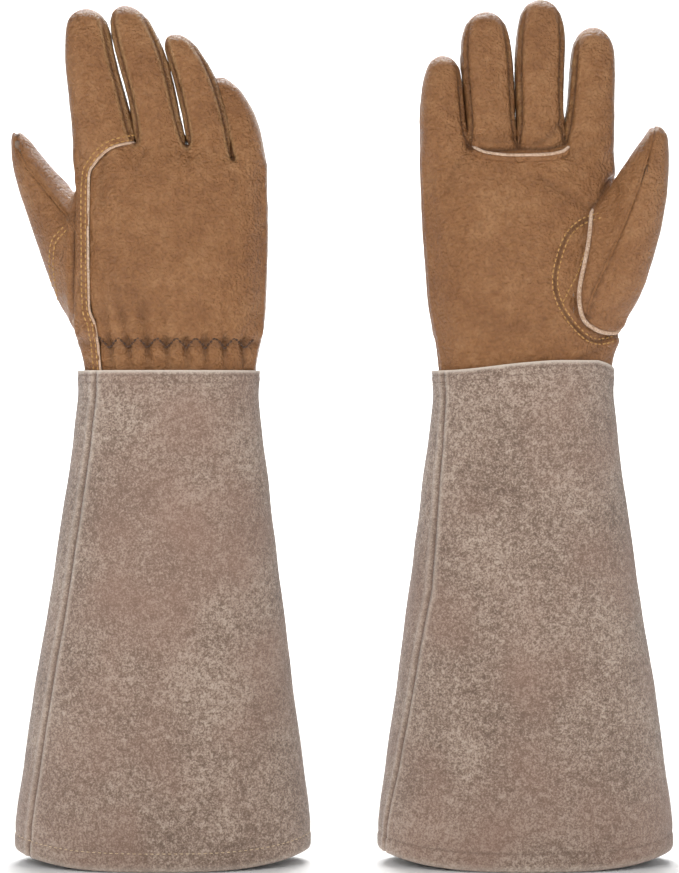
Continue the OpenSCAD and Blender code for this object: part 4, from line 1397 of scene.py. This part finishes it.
def closed_sheet(outer, inner):
    """Points and faces of a closed sheet between two grids of points, such as a panel's two faces."""
    rows, columns = outer.shape[:2]
    grid = np.arange(rows * columns).reshape(rows, columns)
    faces = list(zip(grid[:-1, :-1].ravel(), grid[:-1, 1:].ravel(), grid[1:, 1:].ravel(),
                     grid[1:, :-1].ravel()))
    under = rows * columns
    faces += [tuple(v + under for v in reversed(f)) for f in faces]
    rim = list(grid[0]) + list(grid[1:, -1]) + list(grid[-1, -2::-1]) + list(grid[-2:0:-1, 0])
    faces += [(b, a, a + under, b + under) for a, b in zip(rim, rim[1:] + rim[:1])]
    return np.vstack((outer.reshape(-1, 3), inner.reshape(-1, 3))), faces


def cuff_panel(glove, piece, back):
    share = cuff_shares()[:, None]
    thumb, little = seam_turns(share)
    first, last = (thumb, little) if back else (little, thumb + 2 * math.pi)
    turn = first + (last - first) * np.linspace(0, 1, 2 * COLUMNS_HALF)[None]
    share = np.broadcast_to(share, turn.shape)
    out, dark, worn = cuff_relief(glove, turn, share)
    outer = cuff_surface(glove, turn, share, out)
    inner = cuff_surface(glove, turn, share, np.minimum(out, 0.2) - SUEDE_THICKNESS)
    made = solid_of(glove, piece, [(*closed_sheet(outer, inner), SUEDE)])
    # The grooves' painted shade and the rubbed places go to the shader as point attributes.
    for name, values in (("fold", dark), ("worn", worn)):
        marks = made.data.attributes.new(name, "FLOAT", "POINT")
        marks.data.foreach_set("value", np.tile(values.ravel(), 2))
    return made


cuffs = {}
for g in GLOVES:
    cuffs[g, "cuff_back_panel"] = cuff_panel(g, "cuff_back_panel", True)
    cuffs[g, "cuff_palm_panel"] = cuff_panel(g, "cuff_palm_panel", False)
print("cuff panels", [len(c.data.polygons) for c in cuffs.values()])

# %% [markdown]
# The cuffs are sewn in a taupe thread that nearly sinks in the nap: one row in each side seam,
# two rows round the top band, and one round the hem.

# %% Stitches on the suede
TAUPE_THREAD = twisted_thread("taupe thread in suede", "#5E4A3E", "#8E7464")


def cuff_row(glove, turn, share, proud=0.0):
    """A row on the cuff's outer face: points and normals."""
    out = cuff_relief(glove, turn, share)[0] + proud
    row = cuff_surface(glove, turn, share, out)
    nudge = cuff_surface(glove, turn, share, out + 1.0) - row
    return row, nudge / np.linalg.norm(nudge, axis=1, keepdims=True)


for g in GLOVES:
    full = np.linspace(0, 2 * math.pi, 500)
    up = np.linspace(0.004, 0.985, 300)
    tops = [cuff_row(g, full, 1 - row / cuff_height(g, full)) for row in TOP_ROWS]
    hem = [cuff_row(g, full, HEM_FOLD / cuff_height(g, full))]
    sides = [cuff_row(g, turn, up, 0.1) for turn in seam_turns(up)]
    cuffs[g, "cuff_top_stitching"] = stitched(g, "cuff_top_stitching", tops, 3.6, 2.3, 0.55, TAUPE_THREAD)
    cuffs[g, "cuff_hem_stitching"] = stitched(g, "cuff_hem_stitching", hem, 3.2, 2.2, 0.55,
                                              PALE_THREAD if g == "glove1" else TAUPE_THREAD)
    cuffs[g, "cuff_side_stitching"] = stitched(g, "cuff_side_stitching", sides, 3.4, 2.6, 0.7, TAUPE_THREAD)
print("cuffs sewn")

# %% [markdown]
# ## Elastic
# A woven tape is caught behind the zigzag, stretched while it is sewn. It lies just inside the
# back's leather, so it follows every pleat.

# %% Elastic tape
TAPE_LOW, TAPE_HIGH, TAPE_THICKNESS, TAPE_GAP = 283.6, 291.6, 0.85, 0.15


def elastic_tape(glove):
    xs = np.arange(ZIGZAG_TO + 5, ZIGZAG_FROM, 1.0)[::-1]
    rows = [drop_on(glove, [(x, z) for x in xs], 1) for z in np.linspace(TAPE_LOW, TAPE_HIGH, 5)]
    face = LEATHER + TAPE_GAP
    outer, inner = (np.array([points - normals * depth for points, normals in rows])
                    for depth in (face, face + TAPE_THICKNESS))
    return solid_of(glove, "wrist_elastic", [(*closed_sheet(outer, inner), ELASTIC)])


for g in GLOVES:
    trims[g, "wrist_elastic"] = elastic_tape(g)
print("elastic", trims["glove1", "wrist_elastic"].name)

# %% [markdown]
# ## Joining the looks to the mechanism
# The suede cuff is stiff and goes with its own body, and the stitching on it goes too; the welt
# at the fingers' base goes with the hand. Every other piece stays where it lies, its placing baked
# into its points, and most pieces hide the CAD part of the same name.


def bend_between(piece):
    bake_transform(piece)


def join(piece, glove, name):
    finger = name.split("_")[0]
    if finger in FINGERS:
        bend_between(piece)
    elif name in ("thumb_inner", "thumb_outer", "thumb_ridge"):
        bend_between(piece)
    elif name.startswith("cuff"):
        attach(piece, f"{glove}_cuff")
    elif name == "finger_base_welt":
        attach(piece, f"{glove}_hand")
    else:
        bend_between(piece)
    if name == "middle_fourchettes":
        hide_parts(f"{glove}_{name}", f"{glove}_fork_gussets")
    elif name not in ("back_seam_raw_edge", "thumb_ridge"):
        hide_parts(f"{glove}_{name}")


for (g, name), piece in {**leather, **trims, **cuffs}.items():
    if "stitching" in name:
        join(piece, g, name)
    elif name == "wrist_elastic":
        join(piece, g, name)
    elif "welt" in name or "raw_edge" in name:
        join(piece, g, name)
    else:
        join(piece, g, name)
